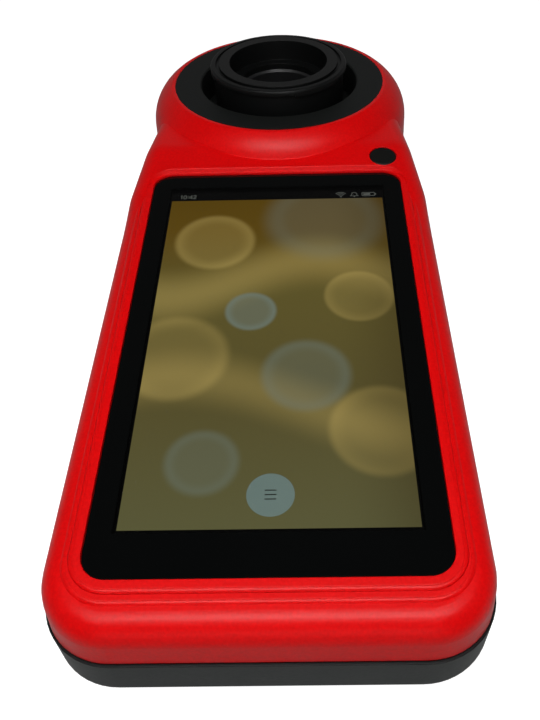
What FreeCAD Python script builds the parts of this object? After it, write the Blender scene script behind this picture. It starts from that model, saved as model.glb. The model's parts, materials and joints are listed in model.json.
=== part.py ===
import FreeCAD, Part
import Sketcher
import math
import os

# Portable photometer: a hand-held wedge with a five-inch touch display and a round
# head that takes a 24 mm sample vial.
# Lengths are millimetres and angles are degrees. The finished part stands on the
# plane Z = 0, the head lies towards +Y and X runs across. Drawings measure Y from the
# front edge; every sub-part's Placement then centres the whole length on Y = 0.
# "Deck" names the sloping plane of the display glass, with its origin above the front
# edge: drawings on it use X across, Y up the slope and Z out of the glass.

SIZES = [
    # Outline of the case at the parting line
    ("Ring_gap", 46.1, "rear edge of the glass to the axis of the head"),
    ("Drum_radius", 44.0, "round head at the parting line"),
    ("Side_margin", 9.15, "side edge of the glass to the side of the body"),
    ("Corner_radius", 15.2, "front corners seen from above"),
    ("Taper_lead", 7.8, "where the sides draw in, before the rear edge of the glass"),
    ("Side_taper", 6.4, "angle of the drawn-in sides"),
    ("Taper_blend", 30.0, "radius where the sides begin to draw in"),
    # Heights above the table
    ("Foot_height", 1.0, "case floor above the table"),
    ("Base_top", 12.0, "upper edge of the base"),
    ("Parting_gap", 0.6, "shadow gap between base and upper shell"),
    ("Front_height", 23.65, "deck plane above the table at the front edge"),
    ("Head_rise", 10.571, "head ring above the top where the top begins to rise"),
    # Upper shell
    ("Deck_tilt", 4.87, "slope of the display"),
    ("Terrace_step", 0.45, "height of each terrace round the display"),
    ("Terrace_root", 0.6, "depth that a terrace is rooted in the shell"),
    ("Rise_lead", 19.8, "where the top begins to rise, before the rear edge of the glass"),
    ("Rise_angle", 5.5, "extra slope of the rising top"),
    ("Rise_blend", 120.0, "radius at the start of the rise"),
    ("Shoulder_drop", 5.0, "level shoulder below the head ring"),
    ("Shoulder_blend", 20.0, "radius at the end of the rise"),
    ("Roll_radius", 5.5, "rolled upper edge"),
    ("Wall_draft", 4.5, "draft of the side walls"),
    ("Drum_draft", 2.0, "draft of the round head's wall"),
    ("Wall", 2.4, "side walls"),
    ("Deck_wall", 4.0, "thickness of the top"),
    ("Skirt_height", 12.0, "height of the rounded shoulder of the drum"),
    ("Rim_width", 1.1, "red rim round the head ring"),
    ("Ledge_radius", 30.5, "opening of the ledge under the head ring"),
    ("Ledge_thickness", 2.4, "ledge under the head ring"),
    # Base
    ("Floor", 2.4, "floor of the base"),
    ("Base_proud", 0.5, "base beyond the upper shell at the parting line"),
    ("Base_draft", 0.3, "draft of the base wall"),
    ("Base_round", 1.5, "rounded lower edge of the base"),
    ("Lip_height", 3.0, "lip of the base above its upper edge"),
    ("Lip_thickness", 1.4, "lip of the base"),
    ("Lip_clearance", 0.12, "lip to the upper shell"),
    ("Lip_root", 3.0, "depth of the lip's root along the base wall"),
    ("Seal_inset", 0.8, "seal behind the outer faces"),
    ("Seal_width", 1.4, "width of the parting seal"),
    # Display
    ("Picture_width", 62.1, "active display area"),
    ("Picture_length", 110.4, "active display area along the deck"),
    ("Picture_start", 22.4, "front edge to the active area along the deck"),
    ("Border_side", 5.6, "black border of the glass beside the active area"),
    ("Border_back", 6.5, "black border of the glass behind the active area"),
    ("Border_front", 11.1, "black border of the glass in front of the active area"),
    ("Glass_corner", 5.5, "corner radius of the glass"),
    ("Glass_thickness", 1.6, "cover glass"),
    ("Glass_recess", 0.6, "glass below the bezel"),
    ("Glass_clearance", 0.15, "glass to the bezel"),
    ("Adhesive_thickness", 0.4, "bonding frame under the glass"),
    ("Panel_gap", 0.3, "glass to the display panel"),
    ("Panel_thickness", 2.4, "display panel"),
    ("Panel_margin_side", 1.55, "panel beside the active area"),
    ("Panel_margin_front", 5.1, "panel in front of the active area"),
    ("Panel_margin_back", 2.6, "panel behind the active area"),
    ("Panel_clearance", 0.5, "panel to its window in the top"),
    ("Backplate_thickness", 0.6, "steel plate behind the panel"),
    ("Bezel_side", 1.85, "upper terrace beside the glass"),
    ("Bezel_front", 2.0, "upper terrace in front of the glass"),
    ("Bezel_back", 0.65, "upper terrace behind the glass"),
    ("Bezel_corner", 7.5, "corner radius of the upper terrace"),
    ("Bezel_flare", 35.0, "slope of the wall behind the glass"),
    ("Step_side", 1.3, "lower terrace beside the upper one"),
    ("Step_front", 2.15, "lower terrace in front of the upper one"),
    ("Step_lead", 11.3, "end of the lower terrace before the rear edge of the glass"),
    # Boards and battery
    ("Board_depth", 8.6, "upper face of the main board below the deck"),
    ("Board_thickness", 1.6, "main board"),
    ("Board_inset", 1.85, "main board inside the side edges of the glass"),
    ("Board_start", 22.0, "front edge to the main board along the deck"),
    ("Board_reach", 11.7, "main board beyond the rear edge of the glass"),
    ("Spacer_radius", 2.5, "spacers between the board and the display"),
    ("Spacer_inset", 6.5, "spacers from the board's side edges"),
    ("Spacer_first", 8.0, "board's front edge to the first spacers"),
    ("Spacer_pitch", 95.0, "first to second spacers"),
    ("Module_size", 30.0, "processor module, square"),
    ("Module_height", 2.2, "processor module"),
    ("Module_place", 53.0, "board's front edge to the module's centre"),
    ("Ribbon_width", 20.0, "display ribbon"),
    ("Ribbon_thickness", 0.3, "display ribbon"),
    ("Ribbon_reach", 7.0, "straight legs of the display ribbon"),
    ("Ribbon_place", 20.5, "front edge to the ribbon's bend along the deck"),
    ("Battery_width", 54.0, "battery pack"),
    ("Battery_length", 84.0, "battery pack"),
    ("Battery_height", 8.0, "battery pack"),
    ("Battery_start", 30.0, "front edge to the battery pack"),
    ("Battery_round", 3.0, "rounded long edges of the battery pack"),
    ("Battery_pad", 0.6, "foam pad under the battery pack"),
    # Power button
    ("Button_inset", 4.35, "button centre inside the side edge of the glass"),
    ("Button_gap", 4.9, "rear edge of the glass to the button centre"),
    ("Button_radius", 4.0, "button face"),
    ("Button_clearance", 0.15, "button to its hole"),
    ("Button_edge", 0.3, "chamfer of the button's face"),
    ("Button_travel", 0.6, "press of the button"),
    ("Button_flange", 5.0, "radius of the button's flange"),
    ("Button_flange_gap", 0.25, "flange below the inner face of the top"),
    ("Button_flange_height", 0.8, "flange thickness"),
    ("Button_stem", 1.5, "radius of the button's stem"),
    ("Stem_gap", 1.0, "stem above the switch case"),
    ("Switch_size", 6.0, "switch case, square"),
    ("Switch_height", 3.2, "switch case"),
    ("Plunger_radius", 0.9, "switch plunger"),
    ("Plunger_clearance", 0.5, "plunger to the well, it leans by the rise"),
    ("Plunger_depth", 1.2, "plunger inside the switch case"),
    # Charging port on the left wall
    ("Port_place", 100.0, "front edge to the port along the deck"),
    ("Port_width", 9.0, "socket"),
    ("Port_height", 3.2, "socket"),
    ("Port_length", 6.6, "socket"),
    ("Port_wall", 0.5, "socket's metal"),
    ("Tongue_thickness", 0.8, "tongue in the socket"),
    ("Port_clearance", 0.3, "socket and plug to the hole in the wall"),
    ("Tab_width", 14.0, "board tab that carries the socket"),
    ("Recess_depth", 2.2, "flap's recess behind the wall at the parting line"),
    ("Recess_length", 17.0, "flap's recess along the deck"),
    ("Recess_height", 9.4, "flap's recess"),
    ("Flap_clearance", 0.3, "flap to its recess"),
    ("Flap_thickness", 1.1, "flap"),
    ("Flap_plug_depth", 0.8, "plug behind the flap"),
    # Head
    ("Ring_radius", 35.1, "seat of the head ring"),
    ("Ring_plate", 2.2, "thickness of the head ring"),
    ("Ring_hole", 26.3, "inner radius of the head ring"),
    ("Ring_clearance", 0.1, "head ring to the rim"),
    ("Ring_edge", 0.4, "chamfer at the ring's inner edge"),
    ("Channel_wall", 1.7, "wall of the channel round the collar"),
    ("Channel_depth", 10.5, "channel floor below the ring's face"),
    ("Channel_floor", 2.4, "channel floor"),
    ("Gasket_thickness", 0.8, "gasket under the channel floor"),
    ("Lip_radius", 22.7, "outer radius of the collar's lip"),
    ("Lip_top", 6.2, "collar's lip above the ring"),
    ("Lip_depth", 1.6, "height of the collar's lip"),
    ("Lip_round", 0.7, "rounded edge of the collar's lip"),
    ("Barrel_radius", 21.8, "collar barrel"),
    ("Crown_top", 6.5, "collar's inner crown above the ring"),
    ("Crown_radius", 19.8, "outer radius of the crown"),
    ("Groove_radius", 21.0, "outer radius of the groove round the crown"),
    ("Groove_depth", 0.9, "groove below the crown"),
    ("Mouth_radius", 16.3, "wide mouth of the collar"),
    ("Mouth_depth", 6.65, "crown to the vial ledge"),
    ("Vial_ledge", 2.0, "thickness of the vial ledge"),
    ("Vial_radius", 12.2, "bore for a 24 mm vial"),
    ("Vial_chamfer", 0.7, "lead-in of the bore"),
    ("Well_wall", 2.3, "wall of the vial well"),
    ("Well_floor", 1.6, "floor of the vial well"),
    ("Well_bottom", 5.0, "underside of the vial well above the table"),
    ("Well_clearance", 0.1, "well to the parts round it"),
    ("Flange_radius", 29.0, "collar flange and optics block"),
    ("Flange_thickness", 2.0, "collar flange"),
    ("Lug_height", 0.6, "bayonet lugs under the lip"),
    ("Lug_angle", 40.0, "length of each lug round the barrel"),
    ("Lug_turn", 305.0, "middle of the first lug, seen from above"),
    ("Block_bottom", 8.0, "underside of the optics block"),
    ("Optics_board", 1.6, "thickness of the optics board"),
    ("Light_height", 20.0, "light path above the table"),
    ("Light_bore", 4.0, "radius of the six light bores"),
    ("Window_radius", 1.4, "radius of the holes in the well"),
    ("Lens_clearance", 0.1, "optical parts to their bore"),
    ("Window_thickness", 1.0, "glass windows"),
    ("Filter_place", 17.6, "head axis to the filters"),
    ("Filter_thickness", 2.0, "colour filters"),
    ("Emitter_place", 20.0, "head axis to the emitters' tips"),
    ("Emitter_radius", 2.5, "barrel of the emitters"),
    ("Emitter_tip", 1.4, "radius of the emitters' flat tips"),
    ("Emitter_length", 5.0, "emitter tip and barrel"),
    ("Emitter_flange", 1.2, "emitter flange"),
    ("Detector_place", 21.2, "head axis to the detectors"),
    ("Detector_length", 4.0, "detector cans"),
    # Fasteners
    ("Screw_radius", 1.5, "screw shanks"),
    ("Screw_clearance", 0.15, "shank to a through hole"),
    ("Thread_clearance", 0.05, "shank to its thread"),
    ("Head_radius", 2.75, "screw heads"),
    ("Head_height", 2.4, "screw heads"),
    ("Head_clearance", 0.25, "screw heads to their counterbores"),
    ("Drive_size", 2.5, "hexagon sockets of the screws across flats"),
    ("Drive_depth", 1.4, "depth of the sockets"),
    ("Post_radius", 3.9, "base posts"),
    ("Post_top", 15.5, "upper end of the base posts"),
    ("Post_web", 4.5, "post above the screw head"),
    ("Boss_radius", 3.2, "bosses of the upper shell"),
    ("Boss_root", 1.5, "depth that a boss is rooted in the top"),
    ("Boss_inset", 7.3, "side bosses inside the side of the body"),
    ("Boss_front", 14.5, "front edge to the front bosses"),
    ("Boss_circle", 34.5, "head bosses from the head's axis"),
    ("Boss_turn", 45.0, "head bosses from the middle line, seen from the head's axis"),
    ("Insert_radius", 2.1, "brass inserts"),
    ("Insert_length", 3.8, "brass inserts"),
    ("Optics_circle", 25.4, "optics screws from the head's axis"),
    ("Optics_turn", 30.0, "first optics screw, seen from above"),
    ("Foot_radius", 5.0, "rubber feet"),
    ("Foot_seat", 0.6, "recess of the feet in the floor"),
    ("Foot_clearance", 0.1, "feet to their recess"),
    ("Foot_inset", 14.8, "front feet inside the side of the body"),
    ("Foot_front", 22.0, "front edge to the front feet"),
    ("Foot_circle", 33.0, "rear feet from the head's axis"),
    ("Foot_angle", 65.0, "rear feet from the middle line, seen from the head's axis"),
]

doc = FreeCAD.newDocument("Photometer")
sheet = doc.addObject("Spreadsheet::Sheet", "Sizes")


class Size:
    """A size worked out from the sheet: its number and the formula that binds it."""

    def __init__(self, number, formula):
        self.number = number
        self.formula = formula

    def __add__(self, other):
        other = size(other)
        return Size(self.number + other.number, f"({self.formula} + {other.formula})")

    def __sub__(self, other):
        other = size(other)
        return Size(self.number - other.number, f"({self.formula} - {other.formula})")

    def __mul__(self, other):
        other = size(other)
        return Size(self.number * other.number, f"({self.formula} * {other.formula})")

    def __truediv__(self, other):
        other = size(other)
        return Size(self.number / other.number, f"({self.formula} / {other.formula})")

    def __neg__(self):
        return Size(-self.number, f"(0 - {self.formula})")

    def __radd__(self, other):
        return size(other) + self

    def __rsub__(self, other):
        return size(other) - self

    def __rmul__(self, other):
        return size(other) * self


def size(value):
    if isinstance(value, Size):
        return value
    return Size(float(value), f"{float(value):.6f}")


def sine(angle):
    angle = size(angle)
    return Size(math.sin(math.radians(angle.number)), f"sin({angle.formula})")


def cosine(angle):
    angle = size(angle)
    return Size(math.cos(math.radians(angle.number)), f"cos({angle.formula})")


def tangent(angle):
    angle = size(angle)
    return Size(math.tan(math.radians(angle.number)), f"tan({angle.formula})")


def root(value):
    return Size(math.sqrt(value.number), f"sqrt({value.formula})")


def fill_sheet():
    """Write the driving sizes and give each one its alias."""
    for row, (alias, number, note) in enumerate(SIZES, 1):
        sheet.set(f"A{row}", alias)
        sheet.set(f"B{row}", str(number))
        sheet.set(f"C{row}", note)
        sheet.setAlias(f"B{row}", alias)
    doc.recompute()


class Sheet:
    """The sheet's cells as sizes, by alias."""

    def __getattr__(self, alias):
        return Size(float(sheet.get(alias)), f"Sizes.{alias}")


fill_sheet()
S = Sheet()

# Working sizes that several sub-parts share
GLASS_HALF = S.Picture_width / 2 + S.Border_side
GLASS_START = S.Picture_start - S.Border_front
GLASS_END = S.Picture_start + S.Picture_length + S.Border_back
HALF_WIDTH = GLASS_HALF + S.Side_margin
TAPER_START = GLASS_END - S.Taper_lead
RISE_START = GLASS_END - S.Rise_lead
STEP_END = GLASS_END - S.Step_lead
RING_DISTANCE = GLASS_END + S.Ring_gap
LENGTH = RING_DISTANCE + S.Drum_radius
BUTTON_DISTANCE = GLASS_END + S.Button_gap
BUTTON_ACROSS = GLASS_HALF - S.Button_inset
BOSS_ACROSS = HALF_WIDTH - S.Boss_inset
FOOT_ACROSS = HALF_WIDTH - S.Foot_inset
BOARD_HALF = GLASS_HALF - S.Board_inset
BOARD_END = GLASS_END + S.Board_reach
PARTING = S.Base_top + S.Parting_gap
CORE_BOTTOM = PARTING - 1
FLOOR_TOP = S.Foot_height + S.Floor
OUTER_TOP = S.Front_height - S.Terrace_step * 2 / cosine(S.Deck_tilt)
RISE_TILT = S.Deck_tilt + S.Rise_angle
RISE_BASE = OUTER_TOP + RISE_START * tangent(S.Deck_tilt)
RING_HEIGHT = RISE_BASE + S.Head_rise
SHOULDER = RING_HEIGHT - S.Shoulder_drop
RIM_RADIUS = S.Ring_radius + S.Rim_width
RING_SEAT = RING_HEIGHT - S.Ring_plate
GLASS_BOTTOM = -(S.Glass_recess + S.Glass_thickness)
PANEL_TOP = GLASS_BOTTOM - S.Panel_gap
PANEL_BOTTOM = PANEL_TOP - S.Panel_thickness
BACKPLATE_BOTTOM = PANEL_BOTTOM - S.Backplate_thickness
SEAT = GLASS_BOTTOM - S.Adhesive_thickness
PANEL_HALF = S.Picture_width / 2 + S.Panel_margin_side
PANEL_START = S.Picture_start - S.Panel_margin_front
PANEL_END = S.Picture_start + S.Picture_length + S.Panel_margin_back
BOARD_BOTTOM = -(S.Board_depth + S.Board_thickness)


def tie(thing, **bound):
    """Bind properties to sizes. A double underscore in a name stands for a dot."""
    for name, value in bound.items():
        thing.setExpression(name.replace("__", "."), size(value).formula)


def turn_about_x(thing, angle):
    """Turn a sub-part about X by a size in degrees."""
    thing.Placement = FreeCAD.Placement(
        FreeCAD.Vector(), FreeCAD.Rotation(FreeCAD.Vector(1, 0, 0), 1)
    )
    tie(thing, Placement__Rotation__Angle=angle)


def stand(thing, x=0, y=0, z=0):
    """Place a sub-part drawn from the front edge, table level."""
    tie(thing, Placement__Base__x=x, Placement__Base__y=y - LENGTH / 2, Placement__Base__z=z)
    return thing


def stand_on_deck(thing):
    """Place a sub-part drawn on the deck plane."""
    turn_about_x(thing, S.Deck_tilt)
    return stand(thing, z=S.Front_height)


def stand_on_head(thing, z=0):
    """Place a sub-part drawn round the head's axis."""
    return stand(thing, y=RING_DISTANCE, z=z)


def new_body(label):
    body = doc.addObject("PartDesign::Body", label)
    body.Label = label
    return body


def origin_plane(body, role):
    return [f for f in body.Origin.OriginFeatures if f.Role == role][0]


def new_sketch(body, role, x=0, y=0, z=0, tilt=None):
    """A sketch on an origin plane of its body, shifted and, with tilt, turned about X."""
    sketch = body.newObject("Sketcher::SketchObject", body.Label + "_sketch")
    sketch.AttachmentSupport = [(origin_plane(body, role), "")]
    sketch.MapMode = "FlatFace"
    if tilt is not None:
        sketch.AttachmentOffset = FreeCAD.Placement(
            FreeCAD.Vector(), FreeCAD.Rotation(FreeCAD.Vector(1, 0, 0), 1)
        )
        tie(sketch, AttachmentOffset__Rotation__Angle=tilt)
    for axis, value in (("x", x), ("y", y), ("z", z)):
        if isinstance(value, Size):
            sketch.setExpression("AttachmentOffset.Base." + axis, value.formula)
    return sketch


def arc_between(start, end, radius, turn):
    """The short arc from start to end that turns left (+1) or right (-1)."""
    x0, y0 = start
    x1, y1 = end
    half = math.hypot(x1 - x0, y1 - y0) / 2
    rise = math.sqrt(max(radius * radius - half * half, 0))
    cx = (x0 + x1) / 2 - turn * (y1 - y0) / (2 * half) * rise
    cy = (y0 + y1) / 2 + turn * (x1 - x0) / (2 * half) * rise
    first = math.atan2(y0 - cy, x0 - cx)
    last = math.atan2(y1 - cy, x1 - cx)
    if turn < 0:
        first, last = last, first
    circle = Part.Circle(FreeCAD.Vector(cx, cy, 0), FreeCAD.Vector(0, 0, 1), radius)
    return Part.ArcOfCircle(circle, first, last)


def draw(sketch, path):
    """Draw a closed outline. Each item is the point where a segment ends: (x, y) for a
    straight one, or (x, y, radius, turn) for an arc that turns left (1) or right (-1)."""
    numbers = [tuple(size(v).number for v in item[:2]) for item in path]
    first_edge = sketch.GeometryCount
    ends = []
    for i, item in enumerate(path):
        start = numbers[i - 1]
        end = numbers[i]
        if len(item) == 2:
            edge = Part.LineSegment(FreeCAD.Vector(*start, 0), FreeCAD.Vector(*end, 0))
            ends.append((1, 2))
        else:
            edge = arc_between(start, end, size(item[2]).number, item[3])
            ends.append((1, 2) if item[3] > 0 else (2, 1))
        sketch.addGeometry(edge)
    for i, item in enumerate(path):
        edge = first_edge + i
        following = (i + 1) % len(path)
        sketch.addConstraint(Sketcher.Constraint(
            "Coincident", edge, ends[i][1], first_edge + following, ends[following][0]))
        for kind, value in (("DistanceX", item[0]), ("DistanceY", item[1])):
            index = sketch.addConstraint(
                Sketcher.Constraint(kind, edge, ends[i][1], size(value).number))
            if isinstance(value, Size):
                sketch.setExpression(f"Constraints[{index}]", value.formula)
        if len(item) > 2:
            index = sketch.addConstraint(
                Sketcher.Constraint("Radius", edge, size(item[2]).number))
            sketch.setExpression(f"Constraints[{index}]", size(item[2]).formula)


def draw_circle(sketch, radius, x=0, y=0):
    circle = Part.Circle(
        FreeCAD.Vector(size(x).number, size(y).number, 0),
        FreeCAD.Vector(0, 0, 1), size(radius).number)
    edge = sketch.addGeometry(circle)
    for kind, value in (("DistanceX", x), ("DistanceY", y)):
        index = sketch.addConstraint(Sketcher.Constraint(kind, edge, 3, size(value).number))
        sketch.setExpression(f"Constraints[{index}]", size(value).formula)
    index = sketch.addConstraint(Sketcher.Constraint("Radius", edge, size(radius).number))
    sketch.setExpression(f"Constraints[{index}]", size(radius).formula)


def rectangle(x0, x1, y0, y1):
    return [(x1, y0), (x1, y1), (x0, y1), (x0, y0)]


def rounded(half, y0, y1, radius):
    """A rectangle with round corners, centred across."""
    return [
        (half - radius, y0),
        (half, y0 + radius, radius, 1),
        (half, y1 - radius),
        (half - radius, y1, radius, 1),
        (radius - half, y1),
        (-half, y1 - radius, radius, 1),
        (-half, y0 + radius),
        (radius - half, y0, radius, 1),
    ]


def feature(body, kind, sketch, **bound):
    made = body.newObject("PartDesign::" + kind, f"{body.Label}_{kind.lower()}")
    made.Profile = sketch
    sketch.Visibility = False
    tie(made, **bound)
    return made


def pad(body, sketch, height):
    return feature(body, "Pad", sketch, Length=height)


def pocket_all(body, sketch):
    """Cut a profile through everything, both ways."""
    made = feature(body, "Pocket", sketch)
    made.Type = "ThroughAll"
    made.SideType = "Symmetric"
    return made


def revolve(body, sketch, kind="Revolution"):
    """Turn a profile a full turn about its sketch's vertical axis."""
    made = feature(body, kind, sketch)
    made.ReferenceAxis = (sketch, ["V_Axis"])
    made.Angle = 360
    return made


def turned(label, profile):
    """A body turned from one profile of (radius, height) points."""
    body = new_body(label)
    sketch = new_sketch(body, "XZ_Plane")
    draw(sketch, profile)
    revolve(body, sketch)
    return body


def around(body, made, count):
    """Repeat a feature evenly round the body's Z axis."""
    pattern = body.newObject("PartDesign::PolarPattern", body.Label + "_pattern")
    pattern.Originals = [made]
    pattern.Axis = (origin_axis(body), [""])
    pattern.Angle = 360
    pattern.Occurrences = count
    body.Tip = pattern
    return pattern


def origin_axis(body):
    return origin_plane(body, "Z_Axis")


def cylinder(label, radius, height, x=0, y=0, z=0):
    made = doc.addObject("Part::Cylinder", label)
    tie(made, Radius=radius, Height=height)
    return stand(made, x, y, z)


def cut(label, base, tool):
    made = doc.addObject("Part::Cut", label)
    made.Label = label
    made.Base = base
    made.Tool = tool
    return made


def fuse(label, pieces):
    made = doc.addObject("Part::MultiFuse", label)
    made.Label = label
    made.Shapes = pieces
    return made


def edges_at(made, chosen):
    """Names of the edges of a feature that pass a test on the edge."""
    return [f"Edge{i}" for i, edge in enumerate(made.Shape.Edges, 1) if chosen(edge)]


def middle_of(edge):
    return edge.valueAt((edge.FirstParameter + edge.LastParameter) / 2)


def round_edges(body, label, chosen, radius):
    """Round the edges of the body so far that pass a test."""
    doc.recompute()
    before = body.Tip
    names = edges_at(before, chosen)
    made = body.newObject("PartDesign::Fillet", label)
    made.Base = (before, names)
    tie(made, Radius=radius)
    return made


def body_outline(inset):
    """The body from above, without the round head: its closing edge lies in the head."""
    half = HALF_WIDTH - inset
    corner = S.Corner_radius - inset
    kink = TAPER_START - inset * tangent(S.Side_taper / 2)
    blend = S.Taper_blend - inset
    run = blend * tangent(S.Side_taper / 2)
    neck = half - (RING_DISTANCE - kink) * tangent(S.Side_taper)
    turn_x = half - run * sine(S.Side_taper)
    turn_y = kink + run * cosine(S.Side_taper)
    return [
        (half - corner, inset),
        (half, inset + corner, corner, 1),
        (half, kink - run),
        (turn_x, turn_y, blend, 1),
        (neck, RING_DISTANCE),
        (-neck, RING_DISTANCE),
        (-turn_x, turn_y),
        (-half, kink - run, blend, 1),
        (-half, inset + corner),
        (corner - half, inset, corner, 1),
    ]


def side_profile(lower):
    """The region above the top of the body, seen from the side, lowered by a wall."""
    base = RISE_BASE - lower / cosine(S.Deck_tilt)
    slope = tangent(S.Deck_tilt)
    rise = tangent(RISE_TILT)
    run = S.Rise_blend * tangent(S.Rise_angle / 2)
    level = SHOULDER - lower
    crest = RISE_START + (level - base) / rise
    ease = S.Shoulder_blend * tangent(RISE_TILT / 2)
    clear = S.Corner_radius
    above = RING_HEIGHT + clear
    return [
        (RISE_START - run * cosine(S.Deck_tilt), base - run * sine(S.Deck_tilt)),
        (RISE_START + run * cosine(RISE_TILT), base + run * sine(RISE_TILT),
         S.Rise_blend, 1),
        (crest - ease * cosine(RISE_TILT), level - ease * sine(RISE_TILT)),
        (crest + ease, level, S.Shoulder_blend, -1),
        (LENGTH + clear, level),
        (LENGTH + clear, above),
        (-clear, above),
        (-clear, base - (RISE_START + clear) * slope),
    ]


def draft_walls(body, label, angle, kept, widens):
    """Draft the upright walls of the body so far about its face at the kept height."""
    doc.recompute()
    before = body.Tip
    walls = []
    held = []
    for i, face in enumerate(before.Shape.Faces, 1):
        upright = abs(face.normalAt(0, 0).z) < 0.5
        if upright and face.CenterOfMass.y < RING_DISTANCE.number - 1:
            walls.append(f"Face{i}")
        elif abs(face.CenterOfMass.z - kept.number) < 0.001:
            held.append(f"Face{i}")
    made = body.newObject("PartDesign::Draft", label)
    made.Base = (before, walls)
    made.NeutralPlane = (before, held)
    made.Reversed = widens
    tie(made, Angle=angle)
    return made


def wedge(label, inset, lower, bottom):
    """The body of the case without its head, with drafted walls and a sloping top."""
    body = new_body(label)
    plan = new_sketch(body, "XY_Plane", z=size(bottom))
    draw(plan, body_outline(size(inset)))
    pad(body, plan, RING_HEIGHT - bottom)
    draft_walls(body, label + "_draft", S.Wall_draft, size(bottom), False)
    profile = new_sketch(body, "YZ_Plane")
    draw(profile, side_profile(size(lower)))
    pocket_all(body, profile)
    return body


def drum_profile(inset, lower, bottom):
    """Half section of the round head: drafted wall, rounded skirt, flat top."""
    skirt = RING_HEIGHT - S.Skirt_height
    draw_in = (skirt - PARTING) * tangent(S.Drum_draft)
    wall_top = S.Drum_radius - draw_in
    across = wall_top - RIM_RADIUS
    bend = (across * across + S.Skirt_height * S.Skirt_height) / (across * 2)
    inner_bend = bend - inset
    top = RING_HEIGHT - lower
    height = top - skirt
    reach = wall_top - bend + root(inner_bend * inner_bend - height * height)
    return [
        (S.Drum_radius - inset, bottom),
        (wall_top - inset, skirt),
        (reach, top, inner_bend, 1),
        (0, top),
        (0, bottom),
    ]


def add_drum(body, inset, lower, bottom):
    sketch = new_sketch(body, "YZ_Plane", x=RING_DISTANCE)
    draw(sketch, drum_profile(size(inset), size(lower), size(bottom)))
    return revolve(body, sketch)


def deck_sketch(body, above=0):
    """A sketch on a plane parallel to the deck, in the deck's own coordinates."""
    above = size(above)
    return new_sketch(
        body, "XY_Plane", tilt=S.Deck_tilt,
        y=-above * sine(S.Deck_tilt), z=S.Front_height + above * cosine(S.Deck_tilt))


def terrace(body, outline, top):
    """A low flat terrace round the display, rooted in the shell below it."""
    bottom = -(S.Terrace_step * 2 + S.Terrace_root)
    sketch = deck_sketch(body, bottom)
    draw(sketch, outline)
    return pad(body, sketch, top - bottom)


def deck_cut(body, outline, top, depth):
    """Cut straight down from a plane parallel to the deck."""
    sketch = deck_sketch(body, top)
    draw(sketch, outline)
    return feature(body, "Pocket", sketch, Length=depth)


BOSS_PLACES = [
    (side * BOSS_ACROSS, distance, False)
    for side in (-1, 1)
    for distance in (S.Boss_front, STEP_END)
] + [
    (side * S.Boss_circle * sine(S.Boss_turn),
     RING_DISTANCE + S.Boss_circle * cosine(S.Boss_turn), True)
    for side in (-1, 1)
]


def boss_tops():
    """Where each boss ends inside the wall above it."""
    slope = tangent(S.Deck_tilt)
    tops = []
    for across, distance, in_head in BOSS_PLACES:
        if in_head:
            tops.append(RING_SEAT - S.Ledge_thickness + S.Boss_root)
        else:
            tops.append(OUTER_TOP - S.Deck_wall + S.Boss_root + size(distance) * slope)
    return tops


def bezel_outline():
    """The upper terrace, which carries the glass."""
    return rounded(
        GLASS_HALF + S.Bezel_side,
        GLASS_START - S.Bezel_front,
        GLASS_END + S.Bezel_back,
        S.Bezel_corner)


def on_upper_roll(edge):
    """The upper edges of the wedge that show outside the head."""
    point = middle_of(edge)
    upright = abs(edge.tangentAt(edge.FirstParameter).z) > 0.9
    if upright or point.z < PARTING.number + 1 or point.y > RING_DISTANCE.number - 1:
        return False
    at_side = abs(point.x) > S.Ring_radius.number
    return at_side or point.y < S.Corner_radius.number


def upper_shell_outer():
    body = wedge("upper_form", 0, 0, PARTING)
    round_edges(body, "upper_roll", on_upper_roll, S.Roll_radius)
    add_drum(body, 0, 0, PARTING)
    bezel = bezel_outline()
    lower = rounded(
        GLASS_HALF + S.Bezel_side + S.Step_side,
        GLASS_START - S.Bezel_front - S.Step_front,
        STEP_END, S.Bezel_corner + S.Step_side)
    terrace(body, lower, -S.Terrace_step)
    terrace(body, bezel, size(0))
    opening = deck_sketch(body)
    draw(opening, bezel)
    clearing = feature(body, "Pocket", opening, Length=S.Shoulder_drop)
    clearing.Reversed = True
    tie(clearing, TaperAngle=S.Bezel_flare)
    return body


def upper_shell_openings(body):
    """Glass seat, display window, button hole and the opening of the head."""
    glass = rounded(
        GLASS_HALF + S.Glass_clearance,
        GLASS_START - S.Glass_clearance,
        GLASS_END + S.Glass_clearance,
        S.Glass_corner + S.Glass_clearance)
    deck_cut(body, glass, 0, -SEAT)
    window = rectangle(
        -(PANEL_HALF + S.Panel_clearance), PANEL_HALF + S.Panel_clearance,
        PANEL_START - S.Panel_clearance, PANEL_END + S.Panel_clearance)
    deck_cut(body, window, 0, S.Deck_wall * 2)
    button = new_sketch(
        body, "XY_Plane", x=BUTTON_ACROSS, y=BUTTON_DISTANCE, z=button_height(),
        tilt=RISE_TILT)
    draw_circle(button, S.Button_radius + S.Button_clearance)
    made = feature(body, "Pocket", button, Length=S.Deck_wall * 4)
    made.SideType = "Symmetric"
    head = new_sketch(body, "YZ_Plane", x=RING_DISTANCE)
    draw(head, [
        (S.Ledge_radius, PARTING),
        (S.Ledge_radius, RING_SEAT),
        (S.Ring_radius, RING_SEAT),
        (S.Ring_radius, RING_HEIGHT + S.Rim_width),
        (0, RING_HEIGHT + S.Rim_width),
        (0, PARTING),
    ])
    revolve(body, head, "Groove")


def button_height():
    """Height of the rising top at the button."""
    return RISE_BASE + (BUTTON_DISTANCE - RISE_START) * tangent(RISE_TILT)


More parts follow.
